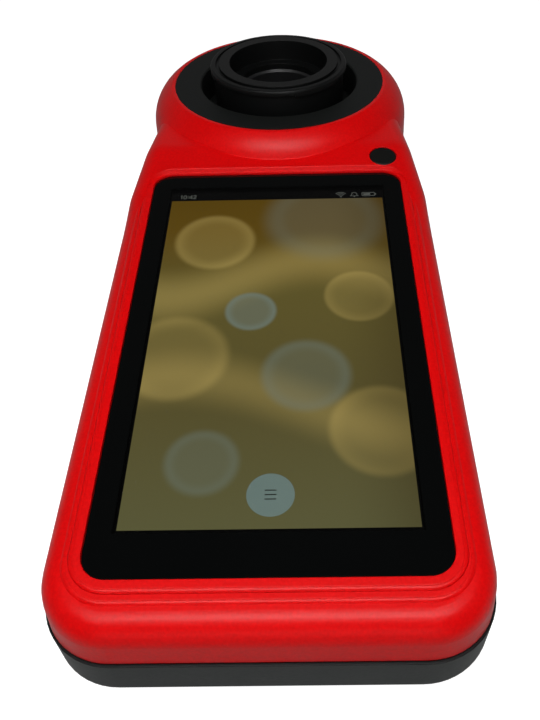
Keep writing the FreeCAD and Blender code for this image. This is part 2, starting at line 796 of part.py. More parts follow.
def hollow_drum(core, bottom):
    """The hollow of the head: a drafted wall up to a slanted roof under the ledge."""
    sketch = new_sketch(core, "YZ_Plane", x=RING_DISTANCE)
    roof = RING_SEAT - S.Ledge_thickness
    skirt = RING_HEIGHT - S.Skirt_height
    across = S.Drum_radius - S.Wall
    draw(sketch, [
        (across, bottom),
        (across - (skirt - PARTING) * tangent(S.Drum_draft), skirt),
        (S.Ring_radius, roof),
        (0, roof),
        (0, bottom),
    ])
    revolve(core, sketch)


def upper_shell():
    """Red upper half of the case: hollow, with the display seat, the head and bosses."""
    outer = upper_shell_outer()
    upper_shell_openings(outer)
    core = wedge("upper_core", S.Wall, S.Deck_wall, CORE_BOTTOM)
    hollow_drum(core, CORE_BOTTOM)
    hollow = cut("upper_hollow", outer, core)
    stand(outer)
    stand(core)
    recess = doc.addObject("Part::Box", "flap_recess")
    tie(recess, Length=S.Recess_depth * 2, Width=S.Recess_length, Height=S.Recess_height)
    turn_about_x(recess, S.Deck_tilt)
    place_on_wall(recess, -(HALF_WIDTH + S.Recess_depth), S.Port_place - S.Recess_length / 2,
                  recess_bottom())
    hole = doc.addObject("Part::Box", "port_hole")
    tie(hole, Length=S.Wall * 3, Width=S.Port_width + S.Port_clearance * 2,
        Height=S.Port_height + S.Port_clearance * 2)
    turn_about_x(hole, S.Deck_tilt)
    place_on_wall(hole, -(HALF_WIDTH + S.Wall),
                  S.Port_place - S.Port_width / 2 - S.Port_clearance,
                  BOARD_BOTTOM - S.Port_height - S.Port_clearance)
    bosses = []
    holes = []
    for i, ((across, distance, in_head), top) in enumerate(zip(BOSS_PLACES, boss_tops()), 1):
        bosses.append(cylinder(f"boss_{i}", S.Boss_radius, top - S.Post_top,
                               size(across), size(distance), S.Post_top))
        holes.append(cylinder(f"boss_hole_{i}", S.Insert_radius + S.Thread_clearance,
                              S.Insert_length, size(across), size(distance), S.Post_top))
    carried = fuse("upper_with_bosses", [hollow] + bosses)
    cutters = fuse("upper_cutters", [recess, hole] + holes)
    return cut("upper_shell", carried, cutters)


def place_on_wall(thing, across, along, above):
    """Place a turned piece by its deck coordinates."""
    tie(thing,
        Placement__Base__x=across,
        Placement__Base__y=along * cosine(S.Deck_tilt) - above * sine(S.Deck_tilt) - LENGTH / 2,
        Placement__Base__z=S.Front_height + along * sine(S.Deck_tilt)
        + above * cosine(S.Deck_tilt))
    return thing


def recess_bottom():
    """Lower edge of the flap's recess on the deck's scale, the port in its middle."""
    return BOARD_BOTTOM - S.Port_height / 2 - S.Recess_height / 2


def plan_block(label, inset, bottom, height):
    """An upright block with the case's outline from above, inset by a wall."""
    body = new_body(label)
    plan = new_sketch(body, "XY_Plane", z=size(bottom))
    draw(plan, body_outline(size(inset)))
    pad(body, plan, size(height))
    return body


def plan_drum(body, inset, bottom, height):
    head = new_sketch(body, "XY_Plane", z=size(bottom))
    draw_circle(head, S.Drum_radius - inset, y=RING_DISTANCE)
    pad(body, head, size(height))


def on_base_roll(edge):
    """The lower edges of the base that show outside the head."""
    point = middle_of(edge)
    return point.z < S.Foot_height.number + 0.01 and point.y < RING_DISTANCE.number - 1


def base_shell():
    """Charcoal base: a tray with a lip, screw posts and seats for the feet."""
    height = S.Base_top - S.Foot_height
    draw_in = height * tangent(S.Base_draft)
    form = plan_block("base_form", -S.Base_proud, S.Foot_height, height)
    draft_walls(form, "base_draft", S.Base_draft, S.Base_top, True)
    round_edges(form, "base_roll", on_base_roll, S.Base_round)
    head = new_sketch(form, "YZ_Plane", x=RING_DISTANCE)
    edge = S.Drum_radius + S.Base_proud
    foot = edge - draw_in
    draw(head, [
        (foot - S.Base_round, S.Foot_height),
        (foot, S.Foot_height + S.Base_round, S.Base_round, 1),
        (edge, S.Base_top),
        (0, S.Base_top),
        (0, S.Foot_height),
    ])
    revolve(form, head)
    cavity = plan_block("base_cavity", S.Wall, FLOOR_TOP, height + 1)
    plan_drum(cavity, S.Wall, FLOOR_TOP, height + 1)
    tray = cut("base_tray", form, cavity)
    lip_lean = (S.Base_top + S.Lip_height - CORE_BOTTOM) * tangent(S.Wall_draft)
    lip_inset = S.Wall + lip_lean + S.Lip_clearance
    lip_bottom = S.Base_top - S.Lip_root
    lip_height = S.Lip_root + S.Lip_height
    outer = plan_block("lip_outer", lip_inset, lip_bottom, lip_height)
    plan_drum(outer, lip_inset, lip_bottom, lip_height)
    inner = plan_block("lip_inner", lip_inset + S.Lip_thickness, lip_bottom - 1, lip_height + 2)
    plan_drum(inner, lip_inset + S.Lip_thickness, lip_bottom - 1, lip_height + 2)
    seat = plan_block("lip_seat", S.Wall / 2, lip_bottom, S.Lip_root)
    plan_drum(seat, S.Wall / 2, lip_bottom, S.Lip_root)
    lip = cut("base_lip", fuse("lip_blank", [outer, seat]), inner)
    for block in (form, cavity, outer, inner, seat):
        stand(block)
    pieces = [tray, lip]
    cutters = []
    floor = S.Foot_height
    head_top = S.Post_top - S.Post_web
    for i, (across, distance, in_head) in enumerate(BOSS_PLACES, 1):
        place = (size(across), size(distance))
        pieces.append(cylinder(f"post_{i}", S.Post_radius, S.Post_top - floor - S.Floor / 2,
                               *place, floor + S.Floor / 2))
        cutters.append(cylinder(f"counterbore_{i}", S.Head_radius + S.Head_clearance,
                                head_top, *place, 0))
        cutters.append(cylinder(f"through_{i}", S.Screw_radius + S.Screw_clearance,
                                S.Post_top + 1, *place, 0))
    pieces.append(cylinder("well_support", S.Vial_radius, S.Well_bottom - floor - S.Floor / 2,
                           0, RING_DISTANCE, floor + S.Floor / 2))
    for i, place in enumerate(foot_places(), 1):
        cutters.append(cylinder(f"foot_seat_{i}", S.Foot_radius + S.Foot_clearance,
                                S.Foot_height + S.Foot_seat, *place, 0))
    return cut("base_shell", fuse("base_solid", pieces), fuse("base_cutters", cutters))


def foot_places():
    back = RING_DISTANCE + S.Foot_circle * cosine(S.Foot_angle)
    across = S.Foot_circle * sine(S.Foot_angle)
    return [
        (-FOOT_ACROSS, S.Foot_front), (FOOT_ACROSS, S.Foot_front),
        (-across, back), (across, back),
    ]


def rubber_feet():
    """Four feet, each a disc in its seat."""
    return fuse("rubber_feet", [
        cylinder(f"foot_{i}", S.Foot_radius, S.Foot_height + S.Foot_seat, *place, 0)
        for i, place in enumerate(foot_places(), 1)])


def parting_seal():
    """Black seal in the gap between the two halves of the case."""
    outer = plan_block("seal_outer", S.Seal_inset, S.Base_top, S.Parting_gap)
    plan_drum(outer, S.Seal_inset, S.Base_top, S.Parting_gap)
    inner = plan_block("seal_inner", S.Seal_inset + S.Seal_width, S.Base_top - 1,
                       S.Parting_gap + 2)
    plan_drum(inner, S.Seal_inset + S.Seal_width, S.Base_top - 1, S.Parting_gap + 2)
    stand(outer)
    stand(inner)
    return cut("parting_seal", outer, inner)


def deck_slab(label, outline, top, thickness):
    """A flat piece parallel to the deck, its upper face at a height above the deck."""
    body = new_body(label)
    sketch = new_sketch(body, "XY_Plane", z=size(top) - thickness)
    draw(sketch, outline)
    pad(body, sketch, thickness)
    return stand_on_deck(body)


def glass_outline(inset=0):
    inset = size(inset)
    return rounded(
        GLASS_HALF - inset,
        GLASS_START + inset,
        GLASS_END - inset,
        S.Glass_corner - inset)


def touch_glass():
    return deck_slab("touch_glass", glass_outline(), -S.Glass_recess, S.Glass_thickness)


def glass_adhesive():
    """Bonding frame between the glass and its seat."""
    body = deck_slab("glass_adhesive", glass_outline(S.Glass_clearance), GLASS_BOTTOM,
                     S.Adhesive_thickness)
    window = new_sketch(body, "XY_Plane", z=GLASS_BOTTOM)
    draw(window, rectangle(
        -(PANEL_HALF + S.Panel_clearance), PANEL_HALF + S.Panel_clearance,
        PANEL_START - S.Panel_clearance, PANEL_END + S.Panel_clearance))
    feature(body, "Pocket", window, Length=S.Adhesive_thickness)
    return body


def display_panel():
    return deck_slab("display_panel", rectangle(
        -PANEL_HALF, PANEL_HALF, PANEL_START, PANEL_END), PANEL_TOP, S.Panel_thickness)


def display_backplate():
    """Steel plate behind the panel, with its long edges folded down as stiffeners."""
    body = deck_slab("display_backplate", rectangle(
        -PANEL_HALF, PANEL_HALF, PANEL_START, PANEL_END), PANEL_BOTTOM,
        S.Backplate_thickness)
    for side in (-1, 1):
        fold = new_sketch(body, "XY_Plane", z=BACKPLATE_BOTTOM - S.Backplate_thickness * 2)
        edge = size(side) * PANEL_HALF
        inner = size(side) * (PANEL_HALF - S.Backplate_thickness)
        left, right = (edge, inner) if side < 0 else (inner, edge)
        draw(fold, rectangle(left, right, PANEL_START, PANEL_END))
        pad(body, fold, S.Backplate_thickness * 2)
    return body


def main_board():
    """Main board with a tab that reaches the charging port."""
    half = BOARD_HALF
    end = BOARD_END
    tab = HALF_WIDTH - S.Wall * 2
    body = deck_slab("main_board", [
        (half, S.Board_start), (half, end), (-half, end),
        (-half, S.Port_place + S.Tab_width / 2), (-tab, S.Port_place + S.Tab_width / 2),
        (-tab, S.Port_place - S.Tab_width / 2), (-half, S.Port_place - S.Tab_width / 2),
        (-half, S.Board_start),
    ], -S.Board_depth, S.Board_thickness)
    return body


def board_spacers():
    """Four spacers that carry the board under the display's backplate."""
    body = new_body("board_spacers")
    across = BOARD_HALF - S.Spacer_inset
    first = S.Board_start + S.Spacer_first
    for side in (-1, 1):
        for along in (first, first + S.Spacer_pitch):
            sketch = new_sketch(body, "XY_Plane", z=-S.Board_depth)
            draw_circle(sketch, S.Spacer_radius, size(side) * across, along)
            pad(body, sketch, S.Board_depth + BACKPLATE_BOTTOM)
    body.setExpression("Placement.Base.x", "0")
    return stand_on_deck(body)


def processor_module():
    middle = S.Board_start + S.Module_place
    half = S.Module_size / 2
    return deck_slab("processor_module", rectangle(
        -half, half, middle - half, middle + half),
        S.Module_height - S.Board_depth, S.Module_height)


def display_ribbon():
    """Flat cable that folds from the backplate round to the main board."""
    body = new_body("display_ribbon")
    sketch = new_sketch(body, "YZ_Plane")
    middle = (BACKPLATE_BOTTOM - S.Board_depth) / 2
    outer = middle + S.Board_depth
    inner = outer - S.Ribbon_thickness
    start = S.Ribbon_place
    far = start + S.Ribbon_reach
    draw(sketch, [
        (start, middle + outer),
        (start - outer, middle, outer, 1),
        (start, middle - outer, outer, 1),
        (far, middle - outer),
        (far, middle - inner),
        (start, middle - inner),
        (start - inner, middle, inner, -1),
        (start, middle + inner, inner, -1),
        (far, middle + inner),
        (far, middle + outer),
    ])
    made = pad(body, sketch, S.Ribbon_width)
    made.SideType = "Symmetric"
    return stand_on_deck(body)


def battery_pack():
    """Flat battery pack with rounded long edges."""
    body = new_body("battery_pack")
    bottom = FLOOR_TOP + S.Battery_pad
    sketch = new_sketch(body, "XZ_Plane", z=-S.Battery_start)
    draw(sketch, rounded(S.Battery_width / 2, bottom, bottom + S.Battery_height,
                         S.Battery_round))
    made = pad(body, sketch, S.Battery_length)
    made.Reversed = True
    return stand(body)


def battery_pad():
    """Foam pad that holds the battery on the floor."""
    body = new_body("battery_pad")
    sketch = new_sketch(body, "XY_Plane", z=FLOOR_TOP)
    half = S.Battery_width / 2 - S.Battery_round
    draw(sketch, rectangle(-half, half, S.Battery_start + S.Battery_round,
                           S.Battery_start + S.Battery_length - S.Battery_round))
    pad(body, sketch, S.Battery_pad)
    return stand(body)


def button_frame():
    """The button's centre in deck coordinates: along the deck and above it."""
    rise = button_height() - S.Front_height
    along = BUTTON_DISTANCE * cosine(S.Deck_tilt) + rise * sine(S.Deck_tilt)
    above = rise * cosine(S.Deck_tilt) - BUTTON_DISTANCE * sine(S.Deck_tilt)
    return along, above


def switch_depth():
    """From the button's face to the top of the switch case, along the button."""
    along, above = button_frame()
    return (above + S.Board_depth) / cosine(S.Rise_angle) - S.Switch_height


def at_button(body):
    """Place a piece that is turned about the button's axis."""
    turn_about_x(body, RISE_TILT)
    return stand(body, BUTTON_ACROSS, BUTTON_DISTANCE, button_height())


def power_button():
    """Round push button with a retaining flange and a stem."""
    face = S.Button_radius
    flange_top = -(S.Deck_wall + S.Button_flange_gap)
    flange_bottom = flange_top - S.Button_flange_height
    stem_end = S.Stem_gap - switch_depth()
    body = turned("power_button", [
        (S.Button_stem, stem_end), (S.Button_stem, flange_bottom),
        (S.Button_flange, flange_bottom), (S.Button_flange, flange_top),
        (face, flange_top), (face, -S.Button_edge), (face - S.Button_edge, 0),
        (0, 0), (0, stem_end),
    ])
    return at_button(body)


def switch_plunger():
    """Plunger of the switch, pressed down by the button's stem."""
    top = S.Stem_gap - switch_depth()
    bottom = -(switch_depth() + S.Plunger_depth)
    body = turned("switch_plunger", [
        (S.Plunger_radius, bottom), (S.Plunger_radius, top), (0, top), (0, bottom)])
    return at_button(body)


def power_switch():
    """Switch case on the main board, with the well that its plunger enters."""
    along, above = button_frame()
    middle = along + (above + S.Board_depth) * tangent(S.Rise_angle)
    half = S.Switch_size / 2
    body = new_body("power_switch")
    case = new_sketch(body, "XY_Plane", z=-S.Board_depth)
    draw(case, rectangle(BUTTON_ACROSS - half, BUTTON_ACROSS + half,
                         middle - half, middle + half))
    pad(body, case, S.Switch_height)
    well = new_sketch(body, "XY_Plane", z=S.Switch_height - S.Board_depth)
    draw_circle(well, S.Plunger_radius + S.Plunger_clearance, BUTTON_ACROSS, middle)
    feature(body, "Pocket", well, Length=S.Plunger_depth + S.Button_travel * 2)
    return stand_on_deck(body)


def charge_socket():
    """Metal socket under the board's tab, open towards the wall."""
    body = new_body("charge_socket")
    mouth = HALF_WIDTH - S.Recess_depth - S.Flap_plug_depth
    half = S.Port_width / 2
    sketch = new_sketch(body, "YZ_Plane", z=-mouth)
    low = BOARD_BOTTOM - S.Port_height
    draw(sketch, rectangle(S.Port_place - half, S.Port_place + half, low, BOARD_BOTTOM))
    pad(body, sketch, S.Port_length)
    hollow = new_sketch(body, "YZ_Plane", z=-mouth)
    draw(hollow, rectangle(
        S.Port_place - half + S.Port_wall, S.Port_place + half - S.Port_wall,
        low + S.Port_wall, BOARD_BOTTOM - S.Port_wall))
    made = feature(body, "Pocket", hollow, Length=S.Port_length - S.Port_wall)
    made.Reversed = True
    tongue = new_sketch(body, "YZ_Plane", z=S.Port_wall - mouth)
    middle = BOARD_BOTTOM - S.Port_height / 2
    half_tongue = S.Tongue_thickness / 2
    draw(tongue, rectangle(
        S.Port_place - half + S.Port_wall * 3, S.Port_place + half - S.Port_wall * 3,
        middle - half_tongue, middle + half_tongue))
    pad(body, tongue, S.Port_length - S.Port_wall)
    return stand_on_deck(body)


def flap_axis():
    """Across and above the deck: the line that the flap turns about."""
    pin = S.Flap_thickness / 2
    across = HALF_WIDTH - S.Recess_depth + S.Flap_clearance / 2 + pin
    return -across, recess_bottom() + S.Flap_clearance + pin


def port_flap():
    """Rubber flap over the port, hinged on its lower edge, with a plug behind it."""
    body = new_body("port_flap")
    across, above = flap_axis()
    pin = S.Flap_thickness / 2
    top = recess_bottom() + S.Recess_height - S.Flap_clearance
    start = S.Port_place - S.Recess_length / 2 + S.Flap_clearance
    profile = new_sketch(body, "XZ_Plane", z=-start)
    draw(profile, [
        (across + pin, above), (across + pin, top), (across - pin, top),
        (across - pin, above), (across, above - pin, pin, 1), (across + pin, above, pin, 1),
    ][1:])
    made = pad(body, profile, S.Recess_length - S.Flap_clearance * 2)
    made.Reversed = True
    plug = new_sketch(body, "YZ_Plane", z=across + pin)
    half = S.Port_width / 2 - S.Port_clearance
    middle = BOARD_BOTTOM - S.Port_height / 2
    tall = S.Port_height / 2 - S.Port_clearance
    draw(plug, rectangle(S.Port_place - half, S.Port_place + half,
                         middle - tall, middle + tall))
    pad(body, plug, S.Flap_plug_depth)
    return stand_on_deck(body)


def optics_holes(body, top, depth, clearance):
    """Three holes for the optics screws, cut down from a height."""
    sketch = new_sketch(body, "XY_Plane", z=top)
    draw_circle(sketch, S.Screw_radius + clearance,
                S.Optics_circle * cosine(S.Optics_turn), S.Optics_circle * sine(S.Optics_turn))
    around(body, feature(body, "Pocket", sketch, Length=depth), 3)


def head_ring():
    """Grey ring of the head with the channel that takes the light shield's skirt."""
    face = RING_HEIGHT
    outer = S.Ring_radius - S.Ring_clearance
    wall = S.Ring_hole + S.Channel_wall
    floor = face - S.Channel_depth
    under = floor - S.Channel_floor
    foot = S.Lip_radius + S.Well_clearance * 2
    body = turned("head_ring", [
        (wall, under), (wall, RING_SEAT), (outer, RING_SEAT), (outer, face),
        (S.Ring_hole + S.Ring_edge, face), (S.Ring_hole, face - S.Ring_edge),
        (S.Ring_hole, floor), (foot, floor), (foot, under),
    ])
    optics_holes(body, floor - S.Screw_clearance, S.Channel_floor, S.Thread_clearance)
    return stand_on_head(body)


def gasket_top():
    return RING_HEIGHT - S.Channel_depth - S.Channel_floor


def vial_collar():
    """Black collar of the head: crown, groove, bayonet lip, barrel and flange."""
    face = RING_HEIGHT
    crown = face + S.Crown_top
    lip = face + S.Lip_top
    ledge = crown - S.Mouth_depth
    under = ledge - S.Vial_ledge
    flange_top = gasket_top() - S.Gasket_thickness
    flange_bottom = flange_top - S.Flange_thickness
    groove = crown - S.Groove_depth
    inner = S.Vial_radius + S.Well_wall + S.Well_clearance
    body = turned("vial_collar", [
        (inner, flange_bottom), (S.Flange_radius, flange_bottom),
        (S.Flange_radius, flange_top), (S.Lip_radius, flange_top),
        (S.Lip_radius, gasket_top() + S.Channel_floor),
        (S.Barrel_radius, gasket_top() + S.Channel_floor),
        (S.Barrel_radius, lip - S.Lip_depth), (S.Lip_radius, lip - S.Lip_depth),
        (S.Lip_radius, lip - S.Lip_round),
        (S.Lip_radius - S.Lip_round, lip, S.Lip_round, 1),
        (S.Groove_radius, lip), (S.Groove_radius, groove), (S.Crown_radius, groove),
        (S.Crown_radius, crown), (S.Mouth_radius, crown), (S.Mouth_radius, ledge),
        (S.Vial_radius + S.Vial_chamfer, ledge), (S.Vial_radius + S.Vial_chamfer, under),
        (inner, under),
    ])
    lug = new_sketch(body, "XY_Plane", z=lip - S.Lip_depth - S.Lug_height)
    start = S.Lug_turn - S.Lug_angle / 2
    end = S.Lug_turn + S.Lug_angle / 2
    rooted = S.Barrel_radius - S.Lug_height
    draw(lug, [
        (S.Lip_radius * cosine(start), S.Lip_radius * sine(start)),
        (S.Lip_radius * cosine(end), S.Lip_radius * sine(end), S.Lip_radius, 1),
        (rooted * cosine(end), rooted * sine(end)),
        (rooted * cosine(start), rooted * sine(start), rooted, -1),
    ])
    around(body, pad(body, lug, S.Lug_height), 3)
    optics_holes(body, flange_top, S.Flange_thickness, S.Screw_clearance)
    return stand_on_head(body)


def collar_gasket():
    """Gasket between the channel floor and the collar's flange."""
    top = gasket_top()
    low = top - S.Gasket_thickness
    inner = S.Lip_radius + S.Well_clearance * 2
    outer = S.Ring_hole + S.Channel_wall
    body = turned("collar_gasket", [(outer, low), (outer, top), (inner, top), (inner, low)])
    optics_holes(body, top, S.Gasket_thickness, S.Screw_clearance)
    return stand_on_head(body)


def radial_cut(body, radius, start, reach, count):
    """Round holes along the light paths, from a distance outwards."""
    sketch = new_sketch(body, "YZ_Plane", z=size(start))
    draw_circle(sketch, radius, 0, S.Light_height)
    made = feature(body, "Pocket", sketch, Length=reach)
    made.Reversed = True
    around(body, made, count)


def vial_well():
    """Black well that holds the vial, with six holes for the light."""
    inner = S.Vial_radius
    outer = inner + S.Well_wall
    top = RING_HEIGHT + S.Crown_top - S.Mouth_depth - S.Vial_ledge
    floor = S.Well_bottom + S.Well_floor
    body = turned("vial_well", [
        (outer, S.Well_bottom), (outer, top), (inner + S.Vial_chamfer, top),
        (inner, top - S.Vial_chamfer), (inner, floor), (0, floor), (0, S.Well_bottom)])
    radial_cut(body, S.Window_radius, 0, outer + 1, 6)
    return stand_on_head(body)


def optics_block():
    """Block round the well with six light bores and three screw holes."""
    inner = S.Vial_radius + S.Well_wall + S.Well_clearance
    top = gasket_top() - S.Gasket_thickness - S.Flange_thickness
    body = turned("optics_block", [
        (S.Flange_radius, S.Block_bottom), (S.Flange_radius, top), (inner, top),
        (inner, S.Block_bottom)])
    radial_cut(body, S.Light_bore, S.Vial_radius, S.Flange_radius, 6)
    optics_holes(body, top, top, S.Screw_clearance)
    return stand_on_head(body)


def optics_board():
    """Ring board under the optics block."""
    inner = S.Vial_radius + S.Well_wall + S.Well_clearance * 2
    low = S.Block_bottom - S.Optics_board
    body = turned("optics_board", [
        (S.Flange_radius, low), (S.Flange_radius, S.Block_bottom),
        (inner, S.Block_bottom), (inner, low)])
    optics_holes(body, S.Block_bottom, S.Optics_board, S.Screw_clearance)
    return stand_on_head(body)


def along_light(label, profile, angle):
    """A piece turned about a light path: points are (radius, distance from the axis)."""
    body = new_body(label)
    sketch = new_sketch(body, "XZ_Plane")
    draw(sketch, profile)
    revolve(body, sketch)
    turn = FreeCAD.Rotation(FreeCAD.Vector(0, 0, 1), angle)
    lay = FreeCAD.Rotation(FreeCAD.Vector(0, 1, 0), 90)
    body.Placement = FreeCAD.Placement(FreeCAD.Vector(), turn * lay)
    return stand_on_head(body, S.Light_height)


def light_group(label, profile, angles):
    return fuse(label, [
        along_light(f"{label}_{angle}", profile, angle) for angle in angles])


FIT_RADIUS = S.Light_bore - S.Lens_clearance
EMITTER_ANGLES = (0, 60, 120)
DETECTOR_ANGLES = (180, 240, 300)


def disc(near, thickness):
    near = size(near)
    return [(FIT_RADIUS, near), (FIT_RADIUS, near + thickness), (0, near + thickness),
            (0, near)]


def sample_windows():
    near = S.Vial_radius + S.Well_wall + S.Well_clearance
    return light_group("sample_windows", disc(near, S.Window_thickness),
                       EMITTER_ANGLES + DETECTOR_ANGLES)


def light_filters():
    return light_group("light_filters", disc(S.Filter_place, S.Filter_thickness),
                       DETECTOR_ANGLES)


def light_detectors():
    return light_group("light_detectors", disc(S.Detector_place, S.Detector_length),
                       DETECTOR_ANGLES)


def light_emitters():
    """Emitters with conical tips, each with a flange that fits its bore."""
    barrel = S.Emitter_radius
    near = S.Emitter_place
    far = near + S.Emitter_length
    end = far + S.Emitter_flange
    return light_group("light_emitters", [
        (S.Emitter_tip, near), (barrel, near + barrel - S.Emitter_tip), (barrel, far),
        (FIT_RADIUS, far), (FIT_RADIUS, end), (0, end), (0, near)], EMITTER_ANGLES)


def screw(label, head_bottom, length, place):
    """Cap screw with a hexagon socket, its point upwards."""
    body = turned(label, [
        (S.Head_radius, head_bottom), (S.Head_radius, head_bottom + S.Head_height),
        (S.Screw_radius, head_bottom + S.Head_height),
        (S.Screw_radius, head_bottom + S.Head_height + length),
        (0, head_bottom + S.Head_height + length), (0, head_bottom)])
    socket = new_sketch(body, "XY_Plane", z=head_bottom)
    reach = S.Drive_size / 2 / cosine(30)
    draw(socket, [(reach * cosine(a), reach * sine(a)) for a in range(0, 360, 60)])
    made = feature(body, "Pocket", socket, Length=S.Drive_depth)
    made.Reversed = True
    return stand(body, *place)


def case_screws():
    """Screws from below through the base posts into the inserts."""
    head_top = S.Post_top - S.Post_web
    return fuse("case_screws", [
        screw(f"case_screw_{i}", head_top - S.Head_height, S.Post_web + S.Insert_length,
              (size(across), size(distance)))
        for i, (across, distance, in_head) in enumerate(BOSS_PLACES, 1)])


def thread_inserts():
    """Brass inserts in the bosses of the upper shell."""
    pieces = []
    for i, (across, distance, in_head) in enumerate(BOSS_PLACES, 1):
        body = turned(f"insert_{i}", [
            (S.Insert_radius, S.Post_top), (S.Insert_radius, S.Post_top + S.Insert_length),
            (S.Screw_radius + S.Thread_clearance, S.Post_top + S.Insert_length),
            (S.Screw_radius + S.Thread_clearance, S.Post_top)])
        pieces.append(stand(body, size(across), size(distance)))
    return fuse("thread_inserts", pieces)


def optics_screws():
    """Long screws that hold board, block, collar and ring together."""
    head_bottom = S.Block_bottom - S.Optics_board - S.Head_height
    length = gasket_top() + S.Channel_floor - S.Block_bottom + S.Optics_board \
        - S.Screw_clearance
    pieces = []
    for angle in (30, 150, 270):
        across = S.Optics_circle * cosine(angle)
        back = RING_DISTANCE + S.Optics_circle * sine(angle)
        pieces.append(screw(f"optics_screw_{angle}", head_bottom, length, (across, back)))
    return fuse("optics_screws", pieces)


SUB_PARTS = [
    upper_shell(), base_shell(), parting_seal(), rubber_feet(),
    touch_glass(), glass_adhesive(), display_panel(), display_backplate(),
    main_board(), board_spacers(), processor_module(), display_ribbon(),
    battery_pack(), battery_pad(),
    power_button(), switch_plunger(), power_switch(),
    charge_socket(), port_flap(),
    head_ring(), vial_collar(), collar_gasket(), vial_well(),
    optics_block(), optics_board(), sample_windows(), light_filters(),
    light_emitters(), light_detectors(),
    case_screws(), thread_inserts(), optics_screws(),
]


def check_and_write():
    """Refuse a failed object or shape, then write one file for each sub-part."""
    doc.recompute()
    for thing in doc.Objects:
        if "Invalid" in thing.State or "Error" in thing.State:
            raise RuntimeError(f"{thing.Label} failed: {thing.State}")
    for sub_part in SUB_PARTS:
        shape = sub_part.Shape
        if shape.isNull() or not shape.isValid() or not shape.Solids:
            raise RuntimeError(f"{sub_part.Label} has no valid solid")
    os.makedirs("parts", exist_ok=True)
    for sub_part in SUB_PARTS:
        sub_part.Shape.exportStep(f"parts/{sub_part.Label}.step")
        box = sub_part.Shape.BoundBox
        print(f"{sub_part.Label:18s} solids {len(sub_part.Shape.Solids)} "
              f"volume {sub_part.Shape.Volume:9.1f} "
              f"x {box.XMin:7.2f} {box.XMax:7.2f} y {box.YMin:8.2f} {box.YMax:8.2f} "
              f"z {box.ZMin:6.2f} {box.ZMax:6.2f}")


check_and_write()
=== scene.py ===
import json
from math import cos, pi, radians, sin

import bmesh
import bpy
from mathutils import Matrix, Vector


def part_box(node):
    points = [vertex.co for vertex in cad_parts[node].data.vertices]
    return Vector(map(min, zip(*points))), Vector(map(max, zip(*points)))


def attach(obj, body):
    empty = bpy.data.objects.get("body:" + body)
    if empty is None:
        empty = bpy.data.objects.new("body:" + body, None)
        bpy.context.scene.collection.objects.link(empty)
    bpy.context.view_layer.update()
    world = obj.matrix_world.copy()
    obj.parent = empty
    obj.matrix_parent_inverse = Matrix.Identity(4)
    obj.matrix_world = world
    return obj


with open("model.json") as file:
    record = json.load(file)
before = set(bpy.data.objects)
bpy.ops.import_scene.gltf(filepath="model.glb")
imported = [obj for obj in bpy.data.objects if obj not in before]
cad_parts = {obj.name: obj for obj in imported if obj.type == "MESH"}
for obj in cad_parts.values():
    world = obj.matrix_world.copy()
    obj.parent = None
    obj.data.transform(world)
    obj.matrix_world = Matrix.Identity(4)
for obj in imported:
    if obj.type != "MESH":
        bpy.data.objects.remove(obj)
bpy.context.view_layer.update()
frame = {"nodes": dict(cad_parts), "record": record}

MM = 0.001
DECK_TILT = radians(4.87)
# Edges that turn by less than this are shaded smooth.
CAD_SMOOTH = radians(24)
STRIP_SMOOTH = radians(30)


# Shader tools

def shade(red, green, blue):
    """A colour read as 0 to 255 on a screen, as Blender's linear colour."""
    def linear(part):
        part = part / 255
        return part / 12.92 if part <= 0.04045 else ((part + 0.055) / 1.055) ** 2.4
    return linear(red), linear(green), linear(blue), 1.0


class Value:
    """A number inside a material; arithmetic on it adds Math nodes."""

    def __init__(self, finish, socket):
        self.finish = finish
        self.socket = socket

    def __add__(self, other):
        return self.finish.maths("ADD", self, other)

    __radd__ = __add__

    def __sub__(self, other):
        return self.finish.maths("SUBTRACT", self, other)

    def __rsub__(self, other):
        return self.finish.maths("SUBTRACT", other, self)

    def __mul__(self, other):
        return self.finish.maths("MULTIPLY", self, other)

    __rmul__ = __mul__

    def __truediv__(self, other):
        return self.finish.maths("DIVIDE", self, other)

    def __rtruediv__(self, other):
        return self.finish.maths("DIVIDE", other, self)

    def __pow__(self, other):
        return self.finish.maths("POWER", self, other)

    def __lt__(self, other):
        return self.finish.maths("LESS_THAN", self, other)

    def __gt__(self, other):
        return self.finish.maths("GREATER_THAN", self, other)

    def size(self):
        return self.finish.maths("ABSOLUTE", self)

    def wave(self):
        return self.finish.maths("SINE", self)

    def most(self, other):
        return self.finish.maths("MAXIMUM", self, other)

    def least(self, other):
        return self.finish.maths("MINIMUM", self, other)

    def ease(self, start, end):
        """0 before start and 1 after end, smooth between them."""
        return self.finish.add(
            "MapRange", {"interpolation_type": "SMOOTHSTEP"}, "Result",
            Value=self, From_Min=start, From_Max=end)


